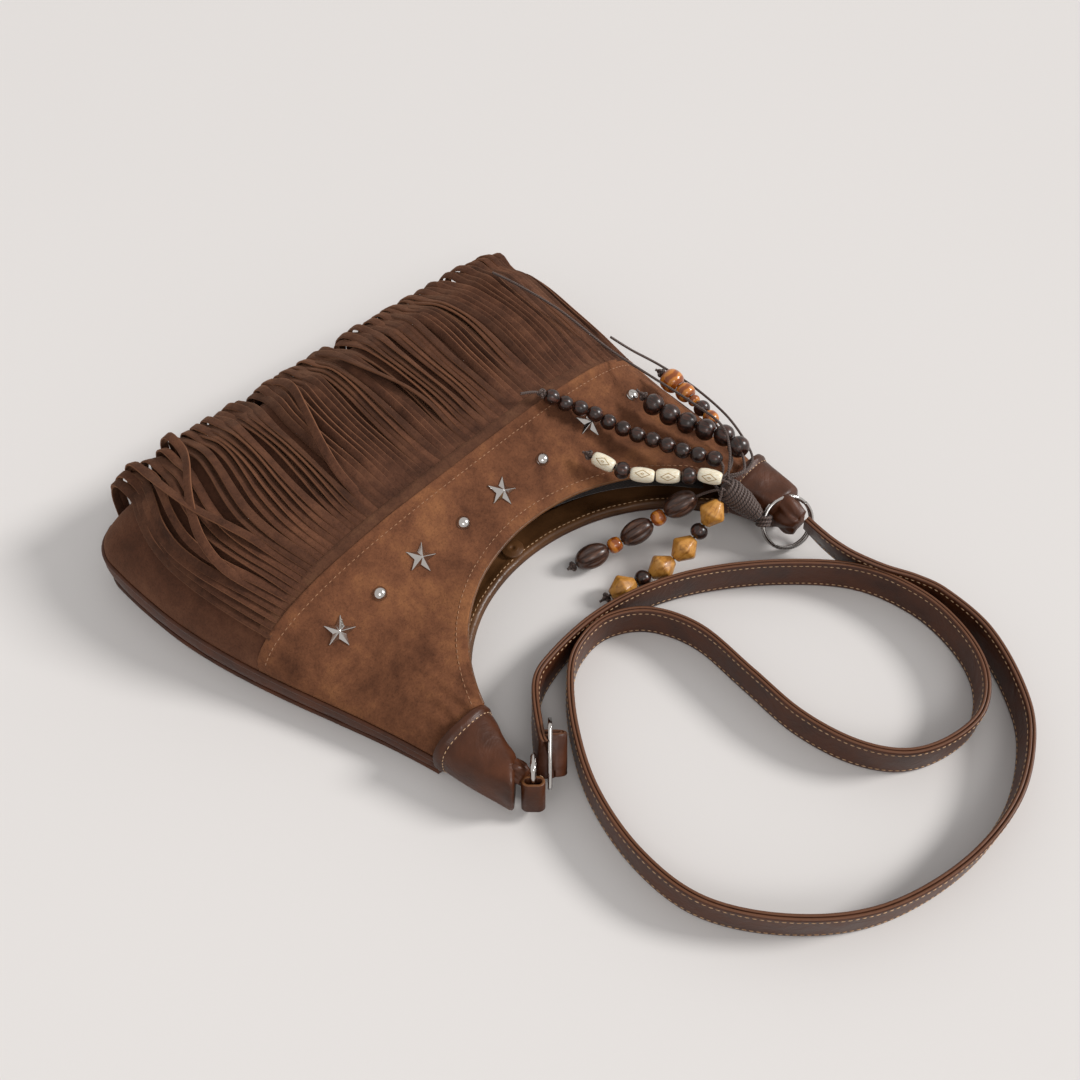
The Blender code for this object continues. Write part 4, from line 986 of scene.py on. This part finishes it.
def makeBarrel():
    look = charmLook
    knot, start, end, axis = barrelEnds()
    length = (end - start).length / mm
    level = axis.orthogonal().normalized()
    upper = axis.cross(level)
    shares, radii = zip(*look["barrel"])
    turns, cord = look["turns"], look["wrapCord"]
    points = []
    steps = turns * 20
    for i in range(steps + 1):
        t = i / steps
        radius = float(np.interp(t, shares, radii)) - cord * 0.7 + 0.22 * soft(t * 60, 3, 5, 6)
        angle = 2 * math.pi * turns * t
        slip = 0.35 * soft(t * 90, 9, 1, 8)
        points.append(start + axis * (t * length + slip) * mm
                      + (level * math.cos(angle) + upper * math.sin(angle)) * radius * mm)
    finishPiece(cordBand("charmWrap", [asLine(points)], cord * 1.05), "waxed_cord", "charm_wrap")
    core = [(float(np.interp(t, shares, radii)) - cord * 0.8, t * length) for t in np.linspace(0, 1, 9)]
    rings = roundTheAxis(start, level, upper, axis, core, 16)
    finishPiece(loftPiece("charmCore", rings, finishes["cord"]), "waxed_cord")
    # three turns of cord tie the barrel to the ring
    first, second, _ = ringAxes()
    tie = math.radians(look["tieAngle"])
    tangent = (second * math.cos(tie) - first * math.sin(tie)).normalized()
    sideAxis = tangent.cross(axis).normalized()
    inwards = sideAxis.cross(tangent).normalized()
    loops = []
    for offset, size in look["tieLoops"]:
        centre = knot + tangent * offset * mm
        loops.append(asLine([centre + ((sideAxis * math.cos(a) + inwards * math.sin(a)) * size
                                       + tangent * 0.4 * math.sin(a)) * mm
                             for a in np.linspace(0, 2 * math.pi, 24, endpoint=False)], closed=True))
    finishPiece(cordBand("charmTie", loops, look["tieCord"]), "waxed_cord", "charm_tie")


makeBarrel()
for label, spec in strands.items():
    makeStrand(label, spec)
for label, spec in looseCords.items():
    makeLooseCord(label, spec)
print("stage: charm")

# suede panels
panelLook = dict(yokeEdge=113.0, foldHeight=2.4, foldWidth=7.0, mouthStitchInset=5.0, seamStitchInset=4.2,
                 suede=2.0, wave=0.9, pucker=1.0, edgeDrop=1.9, edgeRoll=0.9,
                 flankFolds=((-112.0, 1.6), (-128.0, 1.2), (120.0, 1.3)))
gussetLook = dict(bulge=1.7, piping=1.25)
facingLook = dict(backWidth=17.0, frontWidth=16.0, frontDrop=3.6, wall=1.0, plump=1.5, hornRise=5.0,
                  stitchInset=3.2, stitchLift=0.057)
liningLook = dict(inset=8.0, mouthInset=17.2, drop=6.2, wall=0.8)


def yokeRelief(x, h):
    # soft rolling of the suede, puckers by the horn caps and the folded edge over the fringe's header
    lift = panelLook["wave"] * soft(x, h, 3, 26) + 0.35 * soft(x, h, 8, 9)
    near = math.exp(-max(0.0, bag["capLine"] - h) / 16.0)
    side = abs(x) / 119.0
    inside = max(0.0, 1 - (abs(x) / halfWidthAt(h))**10)
    lift += panelLook["pucker"] * near * math.sin(x * 0.85 + 1.5 * soft(x, h, 1, 12)) * min(1.0, side)
    fromEdge = (h - panelLook["yokeEdge"]) / panelLook["foldWidth"]
    if fromEdge < 1.6:
        lift += panelLook["foldHeight"] * math.exp(-max(0.0, fromEdge)**2 * 3.0) * inside
    groove = math.exp(-((h - panelLook["yokeEdge"] - panelLook["seamStitchInset"]) / 0.8)**2)
    return (lift - 0.35 * groove * (h < 125)) * (0.25 + 0.75 * inside)


def yokePoint(x, h, out=0.0):
    normal = frontNormal(x, h)
    return bagPoint(x, h, frontHeight(x, h)) + normal * (yokeRelief(x, h) + out) * mm, normal


def makeYoke():
    look = panelLook
    outer = outline(look["yokeEdge"], 34, 130)
    rows = []
    for t in [smoothStep(i / 54) * 0.35 + 0.65 * i / 54 for i in range(55)]:
        # the turned edge rolls down at the mouth
        roll = Vector((0, 0, look["edgeRoll"] * math.exp(-(t * 60)**2 / 9.0) * mm))
        rows.append([yokePoint(*between(mouthPoint(i / (len(outer) - 1)), spot, t))[0] - roll
                     for i, spot in enumerate(outer)])
    finishPiece(sheetPiece("yokePanel", rows, look["suede"], finishes["suede"]), "suede", "yoke_panel")
    seam, mouth, edge = [], [], []
    seamH = look["yokeEdge"] + look["seamStitchInset"]
    for t in [i / 140 for i in range(141)]:
        seam.append(yokePoint(halfWidthAt(seamH) * 0.985 * (2 * t - 1), seamH, 0.05))
        mouth.append(yokePoint(*mouthPoint(0.012 + 0.976 * t, look["mouthStitchInset"]), 0.05))
        point, normal = yokePoint(*mouthPoint(0.004 + 0.992 * t, 0.2))
        edge.append((point - Vector((0, 0, look["edgeDrop"] * mm)), normal))
    seam, mouth, edge = (asLine([p for p, _ in line], [n for _, n in line]) for line in (seam, mouth, edge))
    finishPiece(stitches("yokeStitches", [seam, mouth], finishes["brownThread"]), "suede")
    rounded, across = roundProfile(1.0)
    profile = [(a * 0.95, b * 1.1) for a, b in rounded], across
    finishPiece(band("mouthTurnedEdge", [edge], profile, finishes["turnedEdge"]), "smooth_leather")


def makeLowerPanel():
    top = bag["seamLine"] - 0.2
    rows = []
    for h in [top * (i / 56)**1.25 for i in range(57)]:
        row = []
        for c in [math.sin(math.radians(a)) for a in np.linspace(-90, 90, 121)]:
            x = halfWidthAt(h) * c
            inside = math.sqrt(max(0.0, 1 - c * c)) * smoothStep(h / 10)
            lift = inside * (0.9 * soft(x, h, 4, 34) + 0.35 * soft(x, h, 9, 12))
            # long soft folds down the puffed flanks
            for centre, depth in panelLook["flankFolds"]:
                fold = math.exp(-((x - centre - 0.12 * (h - 60)) / 5.0)**2)
                lift -= depth * fold * smoothStep(h / 20) * inside
            point = bagPoint(x, h, frontHeight(x, h))
            row.append(point + frontNormal(x, h) * lift * mm if h > 0.5 else point)
        rows.append(row)
    panel = sheetPiece("lowerFrontPanel", rows, panelLook["suede"], finishes["lowerSuede"])
    return finishPiece(panel, "suede", "lower_front_panel")


def makeGusset():
    low = bag["leather"] + bag["gap"]
    path = outline(0.0, 60, 90)
    rows = []
    for share in np.linspace(0, 1, 13):
        row = []
        for x, h in path:
            top = edgeHeightAt(h) - bag["gap"]
            bulge = (gussetLook["bulge"] + 0.5 * soft(x, h, share * 20, 14)) * math.sin(math.pi * share)
            spread = 1 + bulge / halfWidthAt(max(h, bag["corner"]))
            row.append(bagPoint(x * spread, h - bulge * (h < bag["corner"]), low + (top - low) * share))
        rows.append(row)
    gusset = sheetPiece("gussetBand", rows, bag["leather"], finishes["leather"])
    finishPiece(gusset, "smooth_leather", "gusset")
    # piping in the seam between the gusset and the front, and a second one at the back
    lines = []
    for level, rise in ((1.0, 0.2), (0.0, 0.0)):
        heights = [low - 0.2 + (edgeHeightAt(h) - low + rise) * level for _, h in path]
        lines.append(asLine([bagPoint(x * 1.004, h - 0.6 * (h < 1), z) for (x, h), z in zip(path, heights)]))
    piping = band("gussetPiping", lines, roundProfile(gussetLook["piping"]), finishes["leather"])
    finishPiece(piping, "smooth_leather")


def facingPoint(t, inset):
    # the facing is plump near its edge and rises towards the horns
    x, h = mouthPoint(t, inset)
    plump = facingLook["plump"] * math.exp(-((inset - 3.0) / 3.0)**2) + 0.5 * soft(x, h, 2, 10)
    rise = facingLook["hornRise"] * abs(2 * t - 1)**6
    return x, h, bag["leather"] + bag["gap"], bag["facing"] + plump + rise


def makeBackAndFacings():
    look = facingLook
    outer = outline(0.0, 28, 66)
    last = len(outer) - 1
    rows = [[bagPoint(*between(mouthPoint(i / last), spot, t), 0.02) for i, spot in enumerate(outer)]
            for t in np.linspace(0, 1, 25)]
    back = sheetPiece("backPanel", rows, bag["leather"], finishes["leather"])
    finishPiece(back, "smooth_leather", "back_panel")
    rows = []
    for inset in np.linspace(-0.6, look["backWidth"], 15):
        edge = math.sqrt(max(0.0, 1 - max(0.0, (0.8 - inset) / 1.4)**2))
        row = []
        for i in range(121):
            x, h, low, height = facingPoint(0.01 + 0.98 * i / 120, float(inset))
            row.append(bagPoint(x, h, low + height * edge))
        rows.append(row)
    facing = sheetPiece("backFacing", rows, look["wall"], finishes["facing"], False)
    finishPiece(facing, "smooth_leather", "back_facing")
    sewn = []
    for i in range(161):
        x, h, low, height = facingPoint(0.014 + 0.972 * i / 160, look["stitchInset"])
        sewn.append(bagPoint(x, h, low + height + look["stitchLift"]))
    sewn = asLine(sewn, [Vector((0, 0, 1))] * len(sewn))
    thread = stitches("facingStitches", [sewn], finishes["tanThread"])
    finishPiece(thread, "smooth_leather")
    rows = []
    for inset in np.linspace(0.6, look["frontWidth"], 9):
        spots = [mouthPoint(0.02 + 0.96 * i / 120, float(inset)) for i in range(121)]
        rows.append([bagPoint(x, h, frontHeight(x, h) - look["frontDrop"] + 0.3 * soft(x, h, 6, 12))
                     for x, h in spots])
    facing = sheetPiece("frontFacing", rows, look["wall"], finishes["facing"])
    finishPiece(facing, "smooth_leather", "front_facing")


def makeLiningBag():
    inset = liningLook["inset"]
    outer = outline(inset, 16, 40)
    top, low = bag["capLine"] - 2 * inset, bag["leather"] + bag["facing"] + 5 * bag["gap"]
    rows = []
    levels = [(t, True) for t in np.linspace(0, 1, 16)] + [(t, False) for t in np.linspace(1, 0, 12)]
    for share, front in levels:
        row = []
        for i, spot in enumerate(outer):
            rim = mouthPoint(0.02 + 0.96 * i / (len(outer) - 1), liningLook["mouthInset"])
            x, h = between(rim, spot, share)
            h = min(h, top)
            sag = liningLook["drop"] + 1.2 * (1 + soft(x, h, 5, 15)) * share
            height = max(low + 2.0, frontHeight(x, h) - sag) if front else low
            width = halfWidthAt(h)
            row.append(bagPoint(x * (width - inset) / width, h, height))
        rows.append(row)
    pocket = sheetPiece("liningPocket", rows, liningLook["wall"], finishes["lining"])
    finishPiece(pocket, "lining_cloth", "lining")


makeYoke()
lowerPanel = makeLowerPanel()
makeGusset()
makeBackAndFacings()
makeLiningBag()
print("stage: panels")

# fringe: suede strips that hang from the seam over the bottom edge
fringeLook = dict(count=74, width=4.7, thickness=1.1, spread=126.5, header=6.5, bunch=(3, 6), pull=0.22,
                  headerLift=1.55, headerWall=1.2, rollMax=48.0, overhang=9.0, endHeight=12.0, tuck=2.5,
                  flowX=(-124.0, -110.0, -85.0, -60.0, -32.0, 20.0, 72.0, 101.0, 124.0),
                  flowDrift=(6.0, 0.0, 10.0, 10.0, 7.0, 6.0, 8.0, 14.0, 12.0),
                  flowBow=(-9.0, -8.0, -5.0, -1.0, 0.0, 1.0, 3.0, 5.0, 4.0),
                  crossing={4: (22, 4.5), 9: (-20, 4.5), 22: (16, 4.0), 40: (-12, 3.0)},
                  loops={4: 7.0, 9: 8.0, 2: 3.0})


def stripKnots(m, x0, centre, rank):
    # a strip's route as (x, h, z) points, with the roll and the wave that its normals take
    look = fringeLook
    drift = float(np.interp(x0, look["flowX"], look["flowDrift"]))
    bow = float(np.interp(x0, look["flowX"], look["flowBow"]))
    # neighbours wave together, so they lie side by side
    phase = 0.3 * m + dice.uniform(-0.35, 0.35)
    secondPhase = 0.19 * m + dice.uniform(-0.6, 0.6)
    pull = look["pull"] * dice.uniform(0.6, 1.15)
    roll = math.radians(look["rollMax"]) * dice.uniform(0.35, 1.0)
    cross, over = look["crossing"].get(m, (0.0, 0.0))
    stack = 0.35 * rank + dice.uniform(0, 0.8)
    tuck = look["tuck"] * (m % 2)
    knots = []
    for h, lift, s in ((113.2, 0.5, 0.0), (105, 0.7, 0.06), (95, 1.2, 0.14), (82, 1.8, 0.26), (68, 2.2, 0.38),
                       (54, 2.3, 0.5), (40, 2.2, 0.62), (27, 1.9, 0.74), (15, 1.7, 0.84)):
        arch = math.sin(math.pi * min(1.0, s / 0.9))
        x = x0 + (pull * (centre - x0) + bow) * arch + drift * smoothStep(s / 0.95)
        x += 2.4 * math.sin(2.4 * s * math.pi + phase) * s + 0.9 * math.sin(9 * s + secondPhase) * s
        x += cross * smoothStep((s - 0.2) / 0.6)
        x = max(-0.93 * halfWidthAt(h), min(0.95 * halfWidthAt(h), x))
        height = frontHeight(x, h) + lift + stack * smoothStep(s / 0.3) + over * smoothStep((s - 0.12) / 0.3)
        knots.append((x, h, height + 1.5 * smoothStep((abs(x) - 85) / 25) * smoothStep(s / 0.1)))
    x = knots[-1][0] + 1.5 * math.sin(phase)
    edge = abs(x) / bag["halfWidth"]
    brink = frontHeight(0.92 * x, bag["bottomRound"] / 2) + 1.2 + 4.0 * edge**3 + stack
    brink += look["loops"].get(m, 0.0) - 0.3 * tuck
    fall = brink - look["endHeight"] - dice.uniform(-3, 5)
    out = max(1.5, look["overhang"] * (1 + 0.3 * edge**2) * dice.uniform(0.8, 1.05) - tuck)
    sway = dice.uniform(-5, 5)
    knots.append((x + 0.2 * sway, 3.0, brink - 0.05 * fall - 0.7 * tuck))
    knots += [(x + side * sway, -beyond * out, brink - down * fall)
              for side, beyond, down in ((0.4, 0.6, 0.24), (0.7, 1.0, 0.56), (1.0, 0.9, 1.0))]
    return knots, roll, phase


def stripNormals(points, roll, phase):
    # level at the seam, rolled on the way down, nearly flat again at the brink
    normals = []
    for k in range(len(points)):
        tangent = tangentAt(points, k)
        side = Vector((1, 0, 0))
        normal = (side - tangent * side.dot(tangent)).normalized().cross(tangent).normalized()
        if normal.z < 0 and k < len(points) * 0.6:
            normal = -normal
        s = k / (len(points) - 1)
        angle = roll * smoothStep((s - 0.02) / 0.25) * (1 - 0.9 * smoothStep((s - 0.45) / 0.2))
        angle += 0.25 * math.sin(7 * s + phase) * smoothStep(s / 0.2)
        normals.append(Matrix.Rotation(angle, 3, tangent) @ normal)
    return normals


def fringeStrips():
    look = fringeLook
    pitch = 2 * look["spread"] / look["count"]
    starts = [-look["spread"] + (i + 0.5) * pitch for i in range(look["count"])]
    # strips gather in bunches of a few
    bunches, i = [], 0
    while i < look["count"]:
        size = dice.randint(*look["bunch"])
        bunches.append(list(range(i, min(i + size, look["count"]))))
        i += size
    lines = []
    for members in bunches:
        centre = sum(starts[m] for m in members) / len(members)
        lean = dice.choice((-1, 1))
        for rank, m in enumerate(members):
            knots, roll, phase = stripKnots(m, starts[m], centre, rank)
            points = [bagPoint(*p) for p in smoothRoute(knots, 3.6)]
            normals = stripNormals(points, roll * lean, phase)
            lines.append(asLine(points, normals, shade=dice.random(), scale=1.0 - 0.06 * dice.random()))
    return lines


def makeFringe():
    look = fringeLook
    half, depth = look["width"] / 2, look["thickness"] / 2
    profile = [(depth, -half + 0.3), (depth * 1.1, -half * 0.4), (depth * 1.1, half * 0.4),
               (depth, half - 0.3), (0.5 * depth, half), (-0.5 * depth, half), (-depth, half - 0.3),
               (-depth, -half + 0.3), (-0.5 * depth, -half), (0.5 * depth, -half)]
    across = [0.7, 0.2, 0.2, 0.7, 1.0, 1.0, 0.7, 0.7, 1.0, 1.0]
    lines = fringeStrips()
    strips = band("fringeStrips", lines, (profile, across), finishes["fringe"])
    finishPiece(strips, "fringe_suede", "fringe")
    rows = []
    for h in np.linspace(bag["seamLine"] + bag["gap"], bag["seamLine"] - look["header"], 6):
        row = []
        for x in [look["spread"] * c for c in np.linspace(-1, 1, 161)]:
            lift = look["headerLift"] + 0.2 * soft(x, h, 7, 8)
            row.append(bagPoint(x, h, frontHeight(x, h)) + frontNormal(x, h) * lift * mm)
        rows.append(row)
    header = sheetPiece("fringeHeader", rows, look["headerWall"], finishes["header"])
    finishPiece(header, "fringe_suede")


makeFringe()
print("stage: fringe")

# studs
studLook = dict(line=134.0, starX=(-104, -51, 5, 71), domeX=(-78, -22, 35, 106), starRadius=8.2,
                starWaist=3.6, starHeight=3.3, starBevel=0.22, domeRadius=3.4, domeHeight=2.6)


def makeStar(name, x):
    look = studLook
    point, normal = yokePoint(x, look["line"])
    pointer = heading(*awayFrom, 0.5)
    pointer = (pointer - normal * pointer.dot(normal)).normalized()
    side = pointer.cross(normal)
    vertices = [point + normal * (look["starHeight"] + 0.3) * mm]
    for level, widen in ((0.55, 1.0), (-0.6, 1.02)):
        for i in range(10):
            radius = (look["starRadius"] if i % 2 == 0 else look["starWaist"]) * widen
            angle = math.pi * i / 5
            vertices.append(point + (pointer * math.cos(angle) + side * math.sin(angle)) * radius * mm
                            + normal * level * mm)
    vertices.append(point - normal * 0.6 * mm)
    faces = [(0, 1 + i, 1 + (i + 1) % 10) for i in range(10)]
    faces += [(1 + i, 11 + i, 11 + (i + 1) % 10, 1 + (i + 1) % 10) for i in range(10)]
    faces += [(21, 11 + (i + 1) % 10, 11 + i) for i in range(10)]
    obj = tidyNormals(newMesh(name, vertices, faces, finishes["chrome"], False))
    soften = obj.modifiers.new("soften", "BEVEL")
    soften.width = look["starBevel"] * mm
    soften.segments = 2
    return obj


def turnedDisc(name, point, normal, profile, count, material):
    side = normal.orthogonal().normalized()
    return loftPiece(name, roundTheAxis(point, side, normal.cross(side), normal, profile, count), material)


def makeStuds():
    look = studLook
    for number, x in enumerate(look["starX"], 1):
        finishPiece(makeStar(f"starStud{number}", x), "chrome", f"star_stud_{number}")
    radius = look["domeRadius"]
    profile = [(radius + 0.25, -0.4), (radius + 0.25, 0.15)]
    profile += [(radius * math.cos(a), 0.3 + look["domeHeight"] * math.sin(a))
                for a in np.radians((0, 12, 26, 40, 54, 66, 78, 87))]
    for number, x in enumerate(look["domeX"], 1):
        dome = turnedDisc(f"domeStud{number}", *yokePoint(x, look["line"]), profile, 28, finishes["chrome"])
        finishPiece(dome, "chrome", f"dome_stud_{number}")


makeStuds()

# horn caps, necks, tab and metal hardware
capLook = dict(halfSize=(17.0, 15.3), leftEnd=(-99.8, 241.2, 13.4), leftSize=(11.5, 13.0), leftTurn=40.0,
               rightEnd=(111.5, 235, 13.6), rightSize=(11, 12), rightTurn=0.0, rim=0.9, stitchInset=3.4,
               swellAt=(0, 0.3, 0.6, 0.9, 0.96, 1.0), swell=(1.0, 0.98, 0.97, 1.0, 0.98, 0.86))


def ovalPoint(centre, halfX, halfZ, angle, swell=0.0, turn=0.0):
    # a point of an upright oval, turned in plan by turn
    c, s = math.cos(angle), math.sin(angle)
    x = (halfX + swell) * math.copysign(abs(c)**0.75, c)
    z = (halfZ + swell) * math.copysign(abs(s)**0.75, s)
    return place(centre[0] + x * math.cos(turn), centre[1] - x * math.sin(turn), max(0.05, centre[2] + z))


def makeCap(name, side, end, endSize, endTurn, node):
    look = capLook
    start = (side * (halfWidthAt(bag["capLine"]) - mouthPoint(0)[0]) / 2 + bag["hornShift"],
             bag["capLine"] + bag["gap"], look["halfSize"][1] + 0.3)
    rings = []
    for t in [-0.04, -0.02, 0.0] + list(np.linspace(0.03, 1.0, 30)):
        share = max(0.0, t)
        centre = between(start, end, t)
        swell = float(np.interp(share, look["swellAt"], look["swell"]))
        halfX, halfZ = (size * swell for size in between(look["halfSize"], endSize, share))
        length = share * (end[1] - start[1])
        turn = math.radians(endTurn) * smoothStep(share)
        # the base has a doubled rim, and its stitches lie in a groove
        rim = look["rim"] * math.exp(-((length - 1.0) / 1.6)**2)
        rim -= 0.4 * math.exp(-((length - look["stitchInset"]) / 0.8)**2)
        ring = []
        for i in range(72):
            angle = 2 * math.pi * (i + 0.5) / 72
            # wrinkles run towards the tip
            wave = 4 * angle + 1.4 * soft(length, i * 0.3, side, 12)
            wrinkle = 0.55 * share * math.sin(wave) * smoothStep(share * 1.6)
            lumps = soft(12 * math.cos(angle), 12 * math.sin(angle), 0.4 * length, 7)
            wrinkle += 0.5 * smoothStep(share * 2) * lumps
            swellHere = wrinkle * (math.sin(angle) > -0.5) + rim
            ring.append(ovalPoint(centre, halfX, halfZ, angle, swellHere, turn))
        rings.append(ring)
        if abs(length - look["stitchInset"]) < 0.5:
            sewn = [ovalPoint(centre, halfX, halfZ, 2 * math.pi * i / 90, -0.05, turn)
                    for i in range(-10, 56)]
            middle = place(*centre)
    finishPiece(loftPiece(name, rings, finishes["leather"]), "smooth_leather", node)
    thread = stitches(name + "Stitches", [asLine(sewn, [(p - middle).normalized() for p in sewn])],
                      finishes["tanThread"], 2.7, 2.0)
    finishPiece(thread, "smooth_leather")


def makeNeck(name, stations, node, twist):
    # a folded strap of leather; a station is its middle and its half thickness
    fine = smoothRoute([s[:3] for s in stations], 0.8)
    shares = [np.linspace(0, 1, len(p)) for p in (fine, stations)]
    sizes = np.interp(*shares, [s[3] for s in stations])
    rings = []
    for k, (centre, size) in enumerate(zip(fine, sizes)):
        ring = []
        for i in range(48):
            angle = 2 * math.pi * (i + 0.5) / 48
            fold = 0.16 * size * math.sin(4 * angle + twist * k / len(fine))
            fold += 0.06 * size * math.sin(9 * angle)
            ring.append(ovalPoint(centre, size * 0.85, size, angle, fold))
        rings.append(ring)
    finishPiece(loftPiece(name, rings, finishes["leather"]), "smooth_leather", node)


def roundedBox(halfA, halfB, radius, steps=8):
    points = []
    for quarter, (sa, sb) in enumerate(((1, 1), (-1, 1), (-1, -1), (1, -1))):
        for i in range(steps + 1):
            angle = math.pi / 2 * (quarter + i / steps)
            points.append((sa * (halfA - radius) + radius * math.cos(angle),
                           sb * (halfB - radius) + radius * math.sin(angle)))
    return points


def makeTab():
    side, up, across = basis(tabRise)
    centre = place(*tabSpot)
    halfSide, halfAcross, halfUp = (s / 2 for s in tabSize)
    half = tabWall / 2
    path = roundedBox(halfSide - half, halfAcross - half, (halfAcross - half) * 0.95)
    points = [centre + (side * a + across * b) * mm for a, b in path]
    normals = [up.cross((points[(i + 1) % len(points)] - points[i - 1]).normalized()).normalized()
               for i in range(len(points))]
    # a strip of leather on edge: two skins and a raw core between them
    face = [(half, -halfUp + 0.4), (half, 0), (half, halfUp - 0.4), (half / 2, halfUp), (-half / 2, halfUp)]
    profile = face + [(-a, -b) for a, b in face]
    ends = [0.5, 0.0, 0.5, 1.0, 1.0] * 2
    material = makeLeather("tabLeather", ("#391B0A", "#522A13"), 0.42, edgeColour="#6E4526", edgeFrom=0.7)
    loop = band("tabLoop", [asLine(points, normals, closed=True)], (profile, ends), material)
    finishPiece(loop, "smooth_leather", "tab_loop")


def makeLink():
    side, up, across = basis(tabRise)
    depth, length = linkSize
    bottom = tabSize[2] / 2 + linkWire + bag["gap"] + 0.4
    centre = place(*tabSpot) + (up * (length / 2 - bottom) - across * depth / 2) * mm
    points = [centre + (across * a + up * b) * mm for a, b in roundedBox(depth / 2, length / 2, 2.2, 6)]
    loop = asLine(points, [side] * len(points), closed=True)
    ring = band("rectangularRing", [loop], roundProfile(linkWire, 14), finishes["chrome"])
    finishPiece(ring, "chrome", "rectangular_ring")


def makeSlider():
    side, up, across = basis(sliderRise)
    centre = place(*sliderSpot)
    width, length, thickness = sliderSize
    frameLine = roundedBox((width - sliderBar) / 2, (length - sliderBar) / 2, 1.6, 6)
    points = [centre + (across * a + up * b) * mm for a, b in frameLine]
    middle = [centre + up * b * mm for b in np.linspace(-length / 2 + 1.4, length / 2 - 1.4, 9)]
    bars = [asLine(points, [side] * len(points), closed=True), asLine(middle, [side] * len(middle))]
    # the bars are flat with rounded corners
    blunt = [[math.copysign(abs(f(t))**0.6, f(t)) for f in (math.cos, math.sin)]
             for t in np.linspace(0, 2 * math.pi, 16, endpoint=False)]
    profile = [(a * thickness / 2 / 1.1, b * sliderBar / 2) for a, b in blunt], [0.0] * len(blunt)
    finishPiece(band("slideAdjuster", bars, profile, finishes["chrome"]), "chrome", "slide_adjuster")


def makeSplitRing():
    # two turns of wire side by side, which step over once
    look = ringLook
    normal = ringAxes()[2]
    turns = []
    for t in [i / 144 for i in range(145)]:
        step = smoothStep((t - 0.44) / 0.12) * 2 - 1
        spot = ringPoint(4 * math.pi * t + 0.6, look["outer"] - look["turnInset"])
        turns.append(spot + normal * look["turnRise"] * step * mm)
    wire = roundProfile(look["turnWire"], 12)
    ring = band("splitRing", [asLine(turns, [normal] * len(turns))], wire, finishes["chrome"])
    finishPiece(ring, "chrome", "split_ring")


makeCap("leftHornCap", -1, capLook["leftEnd"], capLook["leftSize"], capLook["leftTurn"], "left_horn_cap")
makeCap("rightHornCap", 1, capLook["rightEnd"], capLook["rightSize"], capLook["rightTurn"], "right_horn_cap")
makeNeck("leftNeck", ((-98.6, 236.0, 19, 6.0), (-97.4, 240.4, 20, 5.6), (-96.4, 244.4, 18.5, 4.4)),
         "left_neck", 3.0)
makeNeck("rightNeck", ((111, 231.0, 14, 10.4), (109, 238, 15, 10.0), (107.6, 243, 15.4, 8.6),
                       (107.6, 246.5, 15.4, 6.0)), "right_neck", 4.0)
makeTab()
makeLink()
makeSlider()
makeSplitRing()


snapLook = dict(inset=8.0, frontDrop=5.2)


def makeSnap():
    # magnetic snap: a flat disc with a raised middle on each facing, covered with the facing's leather
    x, h = 0.0, bag["mouthCentre"] - bag["mouthDepth"] - snapLook["inset"]
    profile = ((5.7, 0), (6, 0.3), (6, 1.6), (5.6, 2.0), (3.6, 2.0), (3.2, 2.3), (1.2, 2.4), (0.9, 2.0))
    back = bagPoint(x, h, bag["leather"] + bag["facing"] + 2 * bag["gap"])
    front = bagPoint(x, h, frontHeight(x, h) - snapLook["frontDrop"])
    for name, point, normal, node in (("snapBack", back, Vector((0, 0, 1)), "magnetic_snap_back"),
                                      ("snapFront", front, -frontNormal(x, h), "magnetic_snap_front")):
        finishPiece(turnedDisc(name, point, normal, profile, 32, finishes["facing"]), "smooth_leather", node)


makeSnap()
print("stage: hardware")
